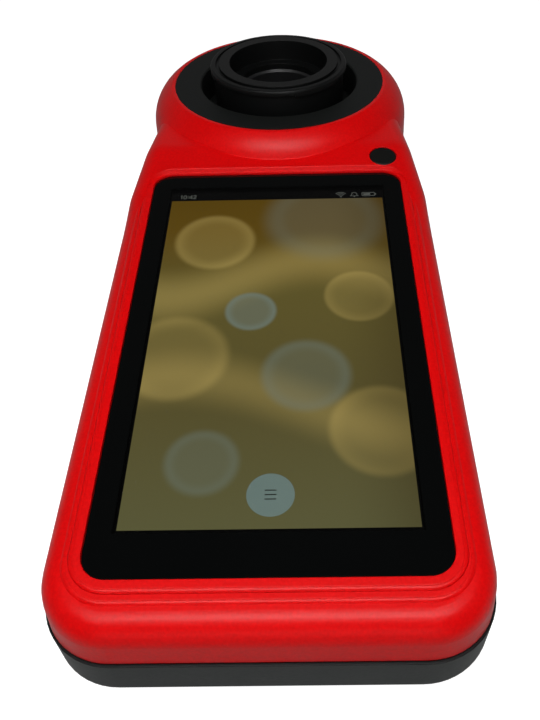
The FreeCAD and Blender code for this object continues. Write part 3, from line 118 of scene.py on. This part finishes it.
class Finish:
    """One material, made node by node."""

    def __init__(self, name):
        self.material = bpy.data.materials.new(name)
        self.material.use_nodes = True
        self.tree = self.material.node_tree
        self.tree.nodes.clear()
        self.place = self.add("TexCoord", output="Object")
        self.across, self.along, self.up = (
            self.add("SeparateXYZ", output=axis, Vector=self.place) for axis in "XYZ")

    def add(self, kind, settings=None, output=0, **values):
        """A node of this kind, its settings first and then its sockets; gives one output."""
        node = self.tree.nodes.new("ShaderNode" + kind)
        for name, setting in (settings or {}).items():
            if name == "stops":
                self.set_stops(node.color_ramp, setting)
            else:
                setattr(node, name, setting)
        for name, value in values.items():
            socket = self.pick(node.inputs, name)
            if isinstance(value, Value):
                self.tree.links.new(value.socket, socket)
            else:
                socket.default_value = value
        return Value(self, self.pick(node.outputs, output)) if len(node.outputs) else None

    @staticmethod
    def pick(sockets, name):
        if isinstance(name, int):
            return sockets[name]
        for socket in sockets:
            if socket.identifier.replace(" ", "_") == name:
                return socket
        return next(s for s in sockets if s.name.replace(" ", "_") == name)

    @staticmethod
    def set_stops(ramp, stops):
        while len(ramp.elements) < len(stops):
            ramp.elements.new(0.5)
        for element, (place, colour) in zip(ramp.elements, stops):
            element.position = place
            element.color = colour

    def maths(self, operation, first, second=None):
        values = {"Value": first}
        if second is not None:
            values["Value_001"] = second
        return self.add("Math", {"operation": operation}, "Value", **values)

    def noise(self, feature, place=None, detail=2.0, roughness=0.5):
        """Soft random values about 0.5, with features of this size in metres."""
        return self.add(
            "TexNoise", output="Fac", Vector=place or self.place,
            Scale=1 / feature, Detail=detail, Roughness=roughness)

    def stretched(self, across=1.0, along=1.0, up=1.0):
        return self.add("Mapping", output="Vector", Vector=self.place, Scale=(across, along, up))

    def blend(self, share, first, second):
        return self.add(
            "Mix", {"data_type": "RGBA"}, "Result_Color",
            Factor_Float=share, A_Color=first, B_Color=second)

    def bump(self, height, depth, edge=0.0):
        """Relief of this depth, and edges worn round to this radius."""
        relief = {"Height": height, "Distance": depth}
        if edge:
            relief["Normal"] = self.add("Bevel", {"samples": 6}, "Normal", Radius=edge)
        return self.add("Bump", output="Normal", **relief)

    def principled(self, **values):
        return self.add("BsdfPrincipled", output="BSDF", **values)

    def surface(self, shader):
        self.add("OutputMaterial", Surface=shader)
        return self.material


# The deck that carries the glass and the display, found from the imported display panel.

class Deck:
    """Points and shader distances on the tilted face of the display panel, from its front edge."""

    def __init__(self, node):
        low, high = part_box(node)
        reach = high - low
        self.tilt = DECK_TILT
        length = (reach.y * cos(self.tilt) - reach.z * sin(self.tilt)) / cos(2 * self.tilt)
        self.front = Vector(((low.x + high.x) / 2, low.y, high.z - length * sin(self.tilt)))

    def point(self, across, along, above):
        return self.front + Vector((
            across,
            along * cos(self.tilt) - above * sin(self.tilt),
            along * sin(self.tilt) + above * cos(self.tilt)))

    def shader_across(self, finish):
        return finish.across - self.front.x

    def shader_along(self, finish):
        return ((finish.along - self.front.y) * cos(self.tilt)
                + (finish.up - self.front.z) * sin(self.tilt))


deck = Deck("display_panel")
PICTURE_FRONT = 5.1 * MM
PICTURE_LENGTH = 110.4 * MM
PICTURE_HALF = 31.05 * MM
STATUS_STRIP = 4.14 * MM
# How far the clear window in the black print reaches past the picture.
WINDOW_SIDE = 0.5 * MM
WINDOW_FRONT = 1.4 * MM
WINDOW_BACK = 0.4 * MM


# Finishes

# The grain of mouldings: its contrast, its share of what varies the colour, and how much it
# varies the roughness.
GRAIN_CONTRAST = 2.4
GRAIN_SHARE = 0.7
GRAIN_ROUGHNESS = 0.12
# The height at which the gap between the two halves starts, and how far below it the colour fades
# into a painted shade of that gap.
GAP_HEIGHT = 11.99 * MM
GAP_SHADE_FADE = 0.3 * MM
LINES_ROUGHNESS = 0.16


def moulded(name, colour, roughness, grain=0.35 * MM, depth=0.012 * MM, mottle=0.08, gloss=0.5,
            edge=0.0, shade_above_height=None):
    """Moulded plastic or rubber with a spark-eroded grain and a faint unevenness of colour.

    Above the given height its colour is painted near black: a painted shade for the shadowed gap
    between two pieces.
    """
    finish = Finish(name)
    fine = finish.noise(grain, detail=3.0, roughness=0.6)
    broad = finish.noise(24 * MM, detail=1.0)
    speckle = ((fine - 0.5) * GRAIN_CONTRAST + 0.5).most(0.0).least(1.0)
    darker = tuple(part * (1 - mottle) for part in colour[:3]) + (1.0,)
    lighter = tuple(min(1.0, part * (1 + mottle)) for part in colour[:3]) + (1.0,)
    paint = finish.blend(speckle * GRAIN_SHARE + broad * (1 - GRAIN_SHARE), darker, lighter)
    # Painted shade: the top of the piece, in the gap under the next piece, is coloured near black
    # where shade falls.
    if shade_above_height:
        gap_shade_share = finish.up.ease(shade_above_height - GAP_SHADE_FADE, shade_above_height)
        paint = finish.blend(gap_shade_share, paint, shade(3, 3, 3))
    return finish.surface(finish.principled(
        Base_Color=paint,
        Roughness=roughness + (fine - 0.5) * GRAIN_ROUGHNESS,
        Specular_IOR_Level=gloss,
        Normal=finish.bump(fine, depth, edge)))


def plated(name, colour, roughness, lay=(1.0, 1.0, 14.0)):
    """Metal with the fine lines of turning, rolling or plating."""
    finish = Finish(name)
    lines = finish.noise(1.2 * MM, place=finish.stretched(*lay))
    stain = finish.noise(6 * MM, detail=1.0)
    dull = tuple(part * 0.82 for part in colour[:3]) + (1.0,)
    return finish.surface(finish.principled(
        Base_Color=finish.blend(stain, dull, colour),
        Metallic=1.0,
        Roughness=roughness + (lines - 0.5) * LINES_ROUGHNESS,
        Normal=finish.bump(lines, 0.006 * MM)))


def clear(name, tint):
    """Polished clear glass or resin, with the faintest waviness."""
    finish = Finish(name)
    wave = finish.noise(9 * MM, detail=1.0)
    deeper = tuple(part * 0.97 for part in tint[:3]) + (1.0,)
    return finish.surface(finish.principled(
        Base_Color=finish.blend(wave, tint, deeper),
        Roughness=0.02 + wave * 0.02,
        IOR=1.5,
        Transmission_Weight=1.0))


def cover_glass(name):
    """Clear glass over the lit picture, printed black on its back all round."""
    finish = Finish(name)
    across = deck.shader_across(finish)
    along = deck.shader_along(finish)
    side = PICTURE_HALF + WINDOW_SIDE - across.size()
    front = along - (PICTURE_FRONT - WINDOW_FRONT)
    back = PICTURE_FRONT + PICTURE_LENGTH + WINDOW_BACK - along
    window = side.least(front.least(back)) > 0.0
    smear = finish.noise(30 * MM)
    print_black = finish.principled(
        Base_Color=finish.blend(smear, shade(2, 3, 3), shade(4, 5, 5)),
        Roughness=0.04 + smear * 0.02,
        Specular_IOR_Level=0.5)
    see_through = finish.principled(
        Base_Color=finish.blend(smear, shade(243, 246, 244), shade(250, 250, 248)),
        Roughness=0.01 + smear * 0.01,
        IOR=1.36,
        Transmission_Weight=1.0)
    return finish.surface(finish.add(
        "MixShader", output="Shader", Fac=window, Shader=print_black, Shader_001=see_through))


# The display's plain background picture. Its pale discs, in turn warm and cool: across, along,
# radius, brightness and softness. FILL and RIM share out the brightness of each.
SOFT_LIGHTS = (
    (-17.0, 88.0, 11.0, 0.42, 0.10),
    (14.0, 97.0, 16.0, 0.20, 0.25),
    (22.0, 66.0, 9.0, 0.34, 0.08),
    (-6.0, 61.0, 6.5, 0.46, 0.10),
    (-24.0, 46.0, 13.0, 0.30, 0.12),
    (8.0, 40.0, 10.5, 0.26, 0.14),
    (25.0, 24.0, 12.0, 0.30, 0.10),
    (-15.0, 16.0, 8.0, 0.24, 0.16),
)
FILL = 0.45
RIM = 0.35
# Its pale bands: distance along, swing, waves, their phase, reach and brightness.
SOFT_BANDS = (
    (73.0, 7.0, 2.4, 0.7, 13.0, 0.34),
    (31.0, -9.0, 1.6, -0.4, 11.0, 0.26),
)


def lit_picture(name):
    """The display: a black strip at its top and, below it, soft lights on an amber ground."""
    finish = Finish(name)
    across = deck.shader_across(finish)
    along = deck.shader_along(finish) - PICTURE_FRONT
    ground = finish.add(
        "ValToRGB",
        {"stops": (
            (0.0, shade(92, 90, 58)),
            (0.30, shade(88, 80, 44)),
            (0.62, shade(96, 86, 42)),
            (0.84, shade(92, 70, 16)),
            (1.0, shade(86, 64, 10)))},
        "Color", Fac=along / PICTURE_LENGTH)
    bands = 0.0
    for height, swing, waves, phase, reach, brightness in SOFT_BANDS:
        middle = (across * (waves / PICTURE_HALF) + phase).wave() * (swing * MM) + height * MM
        bands = (1 - (along - middle).size().ease(0.0, reach * MM)) * brightness + bands
    glow = [bands, 0.0]
    for i, (sideways, forward, radius, brightness, softness) in enumerate(SOFT_LIGHTS):
        centre = (sideways * MM, forward * MM)
        gap = ((across - centre[0]) ** 2 + (along - centre[1]) ** 2) ** 0.5 / (radius * MM)
        disc = 1 - gap.ease(1 - softness, 1 + softness)
        rim = disc * gap.ease(0.6, 1.0)
        glow[i % 2] = disc * (brightness * FILL) + rim * (brightness * RIM) + glow[i % 2]
    warm, cool = glow
    lights = finish.blend(warm.least(1.0), ground, shade(190, 166, 96))
    lights = finish.blend((cool * 2.2).least(0.9), lights, shade(112, 124, 114))
    shadow = (across / PICTURE_HALF).ease(0.45, 1.3) * 0.55
    picture = finish.blend(shadow, lights, shade(54, 42, 18))
    side = PICTURE_HALF - across.size()
    end = (PICTURE_LENGTH - STATUS_STRIP) / 2
    lit = side.least(end - (along - end).size()) > 0.0
    grain = finish.noise(0.25 * MM, detail=1.0)
    return finish.surface(finish.principled(
        Base_Color=shade(1, 1, 1),
        Roughness=0.3 + grain * 0.1,
        Specular_IOR_Level=0.0,
        Emission_Color=finish.blend(lit, (0.0004, 0.0004, 0.0004, 1.0), picture),
        Emission_Strength=1.0))


def lit_mark(name, colour):
    """A mark on the display, evenly lit but for the faint grid of the panel."""
    finish = Finish(name)
    grid = finish.noise(0.2 * MM, detail=0.0)
    dim = tuple(part * 0.93 for part in colour[:3]) + (1.0,)
    return finish.surface(finish.principled(
        Base_Color=shade(5, 5, 5),
        Roughness=0.3,
        Emission_Color=finish.blend(grid, dim, colour),
        Emission_Strength=1.0))


def circuit_board(name):
    """Green solder mask over faint copper runs."""
    finish = Finish(name)
    cells = finish.add(
        "TexBrick", {"offset": 0.5}, "Fac", Vector=finish.stretched(1.0, 0.35, 1.0),
        Scale=1 / (2.4 * MM), Mortar_Size=0.07, Mortar_Smooth=0.2)
    runs = 1 - cells
    colour = finish.blend(runs * 0.5, shade(12, 92, 48), shade(40, 128, 62))
    return finish.surface(finish.principled(
        Base_Color=colour, Roughness=0.3 + runs * 0.1, Normal=finish.bump(runs, 0.02 * MM)))


def film_cable(name):
    """Amber film with the conductors showing through as fine lines."""
    finish = Finish(name)
    lines = ((finish.across * (2 * pi / (1.0 * MM))).wave()) > 0.35
    colour = finish.blend(lines * 0.7, shade(196, 142, 62), shade(150, 84, 30))
    return finish.surface(finish.principled(
        Base_Color=colour, Roughness=0.28 + lines * 0.08, Normal=finish.bump(lines, 0.02 * MM)))


FINISHES = {
    "red_shell": lambda n: moulded(
        n, shade(222, 5, 7), 0.37, grain=0.7 * MM, depth=0.03 * MM, mottle=0.12, gloss=0.17,
        edge=0.4 * MM),
    # The charcoal case carries a painted shade at the top of its gap under the red shell.
    "charcoal_case": lambda n: moulded(
        n, shade(25, 32, 31), 0.5, grain=0.7 * MM, depth=0.03 * MM, mottle=0.12, gloss=0.25,
        edge=0.4 * MM, shade_above_height=GAP_HEIGHT),
    "black_rubber": lambda n: moulded(n, shade(14, 15, 15), 0.62, grain=0.6 * MM),
    "button_cap": lambda n: moulded(n, shade(9, 10, 8), 0.5, gloss=0.25),
    "black_plastic": lambda n: moulded(n, shade(20, 20, 21), 0.42),
    "grey_ring": lambda n: moulded(n, shade(18, 20, 19), 0.6, depth=0.016 * MM, gloss=0.2),
    "black_collar": lambda n: moulded(
        n, shade(8, 9, 9), 0.48, grain=0.5 * MM, depth=0.006 * MM, gloss=0.2, edge=0.25 * MM),
    "white_nylon": lambda n: moulded(n, shade(226, 224, 214), 0.45, mottle=0.03),
    "battery_wrap": lambda n: moulded(n, shade(96, 100, 108), 0.35, grain=2 * MM, mottle=0.04),
    "grey_foam": lambda n: moulded(n, shade(92, 92, 92), 0.85, grain=0.5 * MM, depth=0.15 * MM),
    "screw_steel": lambda n: plated(n, (0.56, 0.56, 0.57, 1.0), 0.32),
    "insert_brass": lambda n: plated(n, (0.78, 0.57, 0.27, 1.0), 0.34),
    "stamped_steel": lambda n: plated(n, (0.6, 0.6, 0.61, 1.0), 0.36, lay=(1.0, 18.0, 1.0)),
    "shield_can": lambda n: plated(n, (0.7, 0.7, 0.71, 1.0), 0.3, lay=(16.0, 1.0, 1.0)),
    "detector_can": lambda n: plated(n, (0.62, 0.6, 0.53, 1.0), 0.3),
    "cover_glass": cover_glass,
    "display_screen": lit_picture,
    "board_green": circuit_board,
    "amber_film": film_cable,
    "clear_glass": lambda n: clear(n, shade(238, 244, 243)),
    "filter_glass": lambda n: clear(n, shade(120, 170, 226)),
    "clear_lens": lambda n: clear(n, shade(240, 241, 243)),
}


def dress_cad_nodes():
    """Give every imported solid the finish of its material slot, and smooth its curved faces."""
    made = {}
    for part in frame["record"]["subparts"]:
        slot = part["material_slot"]
        if slot not in made:
            made[slot] = FINISHES[slot](slot)
        solid = frame["nodes"][part["node"]]
        solid.data.materials.clear()
        solid.data.materials.append(made[slot])
        solid.data.shade_smooth()
        solid.data.set_sharp_from_angle(angle=CAD_SMOOTH)
    return made


# Rounded edges of the two low terraces that frame the glass, in millimetres.

DECK_ABOVE_PANEL = 2.5
PANEL_FROM_FRONT = 17.3
TERRACE_END = 131.0
CORNER_STEPS = 16
ROUND_OVER = 1.1
STRIP_DEPTH = 0.3
STRIP_SINK = 0.05


def terrace_path(half, front, corner):
    """Points round a terrace, from the case's front edge, each with its outward turn."""
    path = [((-half, TERRACE_END), 180), ((-half, front + corner), 180)]
    for side, first in ((-1, 180), (1, 270)):
        middle = (side * (half - corner), front + corner)
        for i in range(1, CORNER_STEPS):
            turn = first + 90 * i / CORNER_STEPS
            path.append((round_points(middle, corner, turn, turn, 1)[0], turn))
        if side < 0:
            path += [((corner - half, front), 270), ((half - corner, front), 270)]
    return path + [((half, front + corner), 360), ((half, TERRACE_END), 360)]


def terrace_edge(name, material, half, front, corner, level, foot):
    """A strip with a rounded top that runs down the wall of a terrace to its foot."""
    section = [(ROUND_OVER * sin(radians(a)), ROUND_OVER * (cos(radians(a)) - 1))
               for a in range(0, 50, 7)]
    slope, drop = section[-1]
    section.append((slope + foot + drop, -foot))
    section += [(0.0, -foot), (-STRIP_DEPTH, -foot), (-STRIP_DEPTH, -STRIP_SINK)]
    mesh = bmesh.new()
    rings = []
    for (x, y), turn in terrace_path(half, front, corner):
        outward = (cos(radians(turn)), sin(radians(turn)))
        rings.append([mesh.verts.new(deck.point(
            (x + outward[0] * out) * MM,
            (y + outward[1] * out - PANEL_FROM_FRONT) * MM,
            (level + up + DECK_ABOVE_PANEL) * MM)) for out, up in section])
    for before, after in zip(rings, rings[1:]):
        for i in range(len(section)):
            following = (i + 1) % len(section)
            mesh.faces.new((before[i], before[following], after[following], after[i]))
    mesh.faces.new(reversed(rings[0]))
    mesh.faces.new(rings[-1])
    bmesh.ops.recalc_face_normals(mesh, faces=mesh.faces)
    data = bpy.data.meshes.new(name)
    mesh.to_mesh(data)
    mesh.free()
    data.materials.append(material)
    data.shade_smooth()
    data.set_sharp_from_angle(angle=STRIP_SMOOTH)
    strip = bpy.data.objects.new(name, data)
    bpy.context.collection.objects.link(strip)
    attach(strip, "case")


def round_off_terraces(material):
    terrace_edge("terrace_edge_upper", material, half=38.5, front=9.3, corner=7.5,
                 level=0.0, foot=0.5)
    terrace_edge("terrace_edge_lower", material, half=39.8, front=7.15, corner=8.8,
                 level=-0.45, foot=0.95)


# Marks on the display: thin pieces that lie on the panel, under the glass.

MARK_LIFT = 0.04 * MM
SECOND_LIFT = 2.5 * MARK_LIFT
MARK_THICKNESS = 0.03 * MM
STROKE = 0.22
FINE_STROKE = 0.2
# Keeps the mitre at a sharp corner from reaching further than twice the stroke's half width.
LEAST_MITRE = 0.5


class Marks:
    """One piece made of flat lit shapes on the panel, placed by millimetres across and along."""

    def __init__(self, name, material, lift=MARK_LIFT):
        self.name = name
        self.material = material
        self.lift = lift
        self.mesh = bmesh.new()

    def face(self, outline):
        corners = [self.mesh.verts.new(deck.point(x * MM, PICTURE_FRONT + y * MM, self.lift))
                   for x, y in outline]
        self.mesh.faces.new(corners)

    def stroke(self, points, width, closed=False):
        """A line of this width through the points, with mitred corners."""
        points = [Vector(p) for p in points]
        count = len(points)
        sides = []
        for i, here in enumerate(points):
            before = points[i - 1] if i or closed else None
            after = points[(i + 1) % count] if i + 1 < count or closed else None
            arms = []
            if before is not None:
                arms.append((here - before).normalized())
            if after is not None:
                arms.append((after - here).normalized())
            run = sum(arms, Vector((0, 0))).normalized()
            normal = Vector((-run.y, run.x))
            stretch = max(LEAST_MITRE, run.dot(arms[0]))
            offset = normal * (width / 2 / stretch)
            sides.append((here + offset, here - offset))
        for i in range(count if closed else count - 1):
            left, right = sides[i], sides[(i + 1) % count]
            self.face((left[1], right[1], right[0], left[0]))

    def disc(self, centre, radius, steps=64):
        self.face(round_points(centre, radius, 0, 360, steps)[:-1])

    def done(self):
        data = bpy.data.meshes.new(self.name)
        self.mesh.to_mesh(data)
        self.mesh.free()
        piece = bpy.data.objects.new(self.name, data)
        bpy.context.collection.objects.link(piece)
        data.materials.append(self.material)
        body = piece.modifiers.new("thickness", "SOLIDIFY")
        body.thickness = MARK_THICKNESS
        body.offset = 1.0
        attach(piece, "case")


def round_points(centre, radius, start, end, steps=20):
    """Points round a circle, by degrees counted from straight across."""
    return [(centre[0] + radius * cos(radians(start + (end - start) * i / steps)),
             centre[1] + radius * sin(radians(start + (end - start) * i / steps)))
            for i in range(steps + 1)]


# Digits as strokes in a cell one wide and one and a half tall.
DIGITS = {
    "0": [[(x * 0.42 + 0.5, y * 0.75 + 0.75) for x, y in round_points((0, 0), 1, 0, 345, 15)]],
    "1": [[(0.25, 1.2), (0.55, 1.5), (0.55, 0.0)]],
    "2": [round_points((0.5, 1.08), 0.4, 165, -30, 8) + [(0.1, 0.05), (0.95, 0.05)]],
    "4": [[(0.95, 0.42), (0.05, 0.42), (0.7, 1.5), (0.7, 0.0)]],
    ":": [[(0.35, 0.35), (0.65, 0.35)], [(0.35, 1.0), (0.65, 1.0)]],
}


def clock(material):
    """The time at the left of the status strip."""
    marks = Marks("display_clock", material)
    left = -28.9
    base = 107.2
    height = 1.05
    for sign in "10:42":
        for line in DIGITS[sign]:
            marks.stroke(
                [(left + x * height, base + y * height) for x, y in line], STROKE,
                closed=sign == "0")
        left += height * (0.62 if sign == ":" else 1.02)
    marks.done()


def status_icons(material):
    """Signal arcs, a bell and a battery at the right of the status strip."""
    marks = Marks("display_status_icons", material)
    middle = 108.0
    foot = (18.9, middle - 1.0)
    marks.disc(foot, 0.28, 20)
    for radius in (0.8, 1.4, 2.0):
        marks.stroke(round_points(foot, radius, 42, 138, 10), STROKE)
    bell = (22.9, middle - 0.7)
    dome = round_points((bell[0], bell[1] + 0.8), 0.75, 0, 180, 12)
    marks.stroke(
        [(bell[0] - 1.15, bell[1]), (bell[0] + 1.15, bell[1]), (bell[0] + 0.75, bell[1] + 0.4)]
        + dome + [(bell[0] - 0.75, bell[1] + 0.4)], FINE_STROKE, closed=True)
    marks.disc((bell[0], bell[1] - 0.35), 0.22, 16)
    left, right, low, high = 25.2, 28.9, middle - 0.75, middle + 0.75
    corner = 0.3
    shell = []
    for x, y, start in ((right, high, 0), (left, high, 90), (left, low, 180), (right, low, 270)):
        inward = (x - corner if x == right else x + corner,
                  y - corner if y == high else y + corner)
        shell += round_points(inward, corner, start, start + 90, 4)
    marks.stroke(shell, FINE_STROKE, closed=True)
    marks.face(((left + 0.4, low + 0.4), (left + 2.4, low + 0.4),
                (left + 2.4, high - 0.4), (left + 0.4, high - 0.4)))
    marks.face(((right + 0.15, middle - 0.3), (right + 0.45, middle - 0.3),
                (right + 0.45, middle + 0.3), (right + 0.15, middle + 0.3)))
    marks.done()


MENU_CENTRE = (0.18, 7.8)
MENU_RADIUS = 5.1
MENU_LINE_HALF = 1.25
MENU_LINE_STEP = 1.05
MENU_LINE_WIDTH = 0.24


def menu_button(disc_material, line_material):
    """The pale round menu key of the picture and its three dark lines."""
    disc = Marks("display_menu_disc", disc_material)
    disc.disc(MENU_CENTRE, MENU_RADIUS, 96)
    disc.done()
    lines = Marks("display_menu_lines", line_material, lift=SECOND_LIFT)
    x = MENU_CENTRE[0]
    for step in (-1, 0, 1):
        y = MENU_CENTRE[1] + step * MENU_LINE_STEP
        lines.stroke(((x - MENU_LINE_HALF, y), (x + MENU_LINE_HALF, y)), MENU_LINE_WIDTH)
    lines.done()


def light_up_display():
    white = lit_mark("status_white", shade(84, 86, 82))
    clock(white)
    status_icons(white)
    menu_button(
        lit_mark("menu_pale", shade(104, 122, 117)), lit_mark("menu_dark", shade(24, 26, 24)))


# Stage, lamps and camera

# The share of the floor's glow that each kind of ray sees.
FLOOR_GLOW = (("Is_Camera_Ray", 0.98), ("Is_Transmission_Ray", 0.98), ("Is_Glossy_Ray", 0.2))
# The floor lies just under the feet, so that their faces don't coincide.
FLOOR_DROP = 0.05 * MM


def studio_sweep():
    """A pale floor that curves up into a round wall; it looks white but takes shadows."""
    finish = Finish("studio_white")
    paint = finish.noise(0.4, detail=1.0)
    matte = finish.add(
        "BsdfDiffuse", output="BSDF",
        Color=finish.blend(paint, shade(150, 150, 149), shade(155, 155, 154)))
    strength = 0.0
    for ray, share in FLOOR_GLOW:
        strength = finish.add("LightPath", output=ray) * share + strength
    glow = finish.add("Emission", output="Emission", Color=(1, 1, 1, 1), Strength=strength)
    material = finish.surface(finish.add("AddShader", Shader=matte, Shader_001=glow))
    wall_radius, cove, top, steps = 2.6, 0.6, 2.0, 96
    profile = [(0.0, 0.0), (wall_radius - cove, 0.0)]
    profile += [(wall_radius - cove + cove * sin(radians(a)), cove - cove * cos(radians(a)))
                for a in range(10, 91, 10)]
    profile.append((wall_radius, top))
    mesh = bmesh.new()
    centre = mesh.verts.new((0, 0, 0))
    rings = [[mesh.verts.new((r * cos(2 * pi * i / steps), r * sin(2 * pi * i / steps), z))
              for i in range(steps)] for r, z in profile[1:]]
    for i in range(steps):
        after = (i + 1) % steps
        mesh.faces.new((centre, rings[0][i], rings[0][after]))
        for inner, outer in zip(rings, rings[1:]):
            mesh.faces.new((inner[i], outer[i], outer[after], inner[after]))
    data = bpy.data.meshes.new("studio_sweep")
    mesh.to_mesh(data)
    mesh.free()
    data.shade_smooth()
    data.materials.append(material)
    sweep = bpy.data.objects.new("studio_sweep", data)
    sweep.location.z = -FLOOR_DROP
    bpy.context.collection.objects.link(sweep)


# Softboxes: name, place, point aimed at, width and height, power in watts.
LAMPS = (
    ("key_softbox", (0.0, -0.17, 0.34), (0, -0.07, 0.03), (0.30, 0.08), 1.15),
    ("left_softbox", (-1.10, -0.45, 0.75), (0, 0, 0.02), (0.7, 0.7), 0.15),
    ("right_softbox", (1.10, -0.45, 0.75), (0, 0, 0.02), (0.7, 0.7), 0.15),
    ("front_softbox", (0.0, -1.20, 0.30), (0, -0.05, 0.02), (0.9, 0.4), 1.3),
    ("back_softbox", (0.0, 1.30, 0.40), (0, 0.05, 0.03), (0.8, 0.3), 0.15),
)
WORLD_LIGHT = 0.04


def hang_lamps():
    for name, place, target, size, power in LAMPS:
        lamp = bpy.data.lights.new(name, "AREA")
        lamp.shape = "RECTANGLE"
        lamp.size, lamp.size_y = size
        lamp.energy = power
        holder = bpy.data.objects.new(name, lamp)
        holder.location = place
        aim = Vector(target) - Vector(place)
        holder.rotation_euler = aim.to_track_quat("-Z", "Y").to_euler()
        bpy.context.collection.objects.link(holder)
    world = bpy.data.worlds.new("dim_studio")
    world.use_nodes = True
    background = world.node_tree.nodes["Background"]
    background.inputs["Color"].default_value = (1.0, 1.0, 1.0, 1.0)
    background.inputs["Strength"].default_value = WORLD_LIGHT
    bpy.context.scene.world = world


# The photograph's camera: place, pitch below level, turn to the left, roll, and optical axis.
CAMERA_PLACE = Vector((8.6, -173.75, 154.3)) * MM
CAMERA_PITCH = radians(44.77)
CAMERA_YAW = radians(-0.95)
CAMERA_ROLL = radians(1.56)
CAMERA_LENS = 37.0
PICTURE_HEIGHT = 720
CAMERA_SHIFT = (-29.8 / PICTURE_HEIGHT, -6.1 / PICTURE_HEIGHT)


def aim_camera():
    level = cos(CAMERA_PITCH)
    ahead = Vector((sin(CAMERA_YAW) * level, cos(CAMERA_YAW) * level, -sin(CAMERA_PITCH)))
    right = Vector((cos(CAMERA_YAW), -sin(CAMERA_YAW), 0))
    down = ahead.cross(right)
    image_right = cos(CAMERA_ROLL) * right + sin(CAMERA_ROLL) * down
    image_down = -sin(CAMERA_ROLL) * right + cos(CAMERA_ROLL) * down
    lens = bpy.data.cameras.new("camera")
    lens.lens = CAMERA_LENS
    lens.shift_x, lens.shift_y = CAMERA_SHIFT
    lens.clip_start = 0.01
    camera = bpy.data.objects.new("camera", lens)
    turn = Matrix((image_right, -image_down, -ahead)).transposed().to_4x4()
    camera.matrix_world = Matrix.Translation(CAMERA_PLACE) @ turn
    bpy.context.collection.objects.link(camera)
    bpy.context.scene.camera = camera
    bpy.context.scene.view_settings.view_transform = "Standard"


aim_camera()
finishes = dress_cad_nodes()
round_off_terraces(finishes["red_shell"])
light_up_display()
studio_sweep()
hang_lamps()
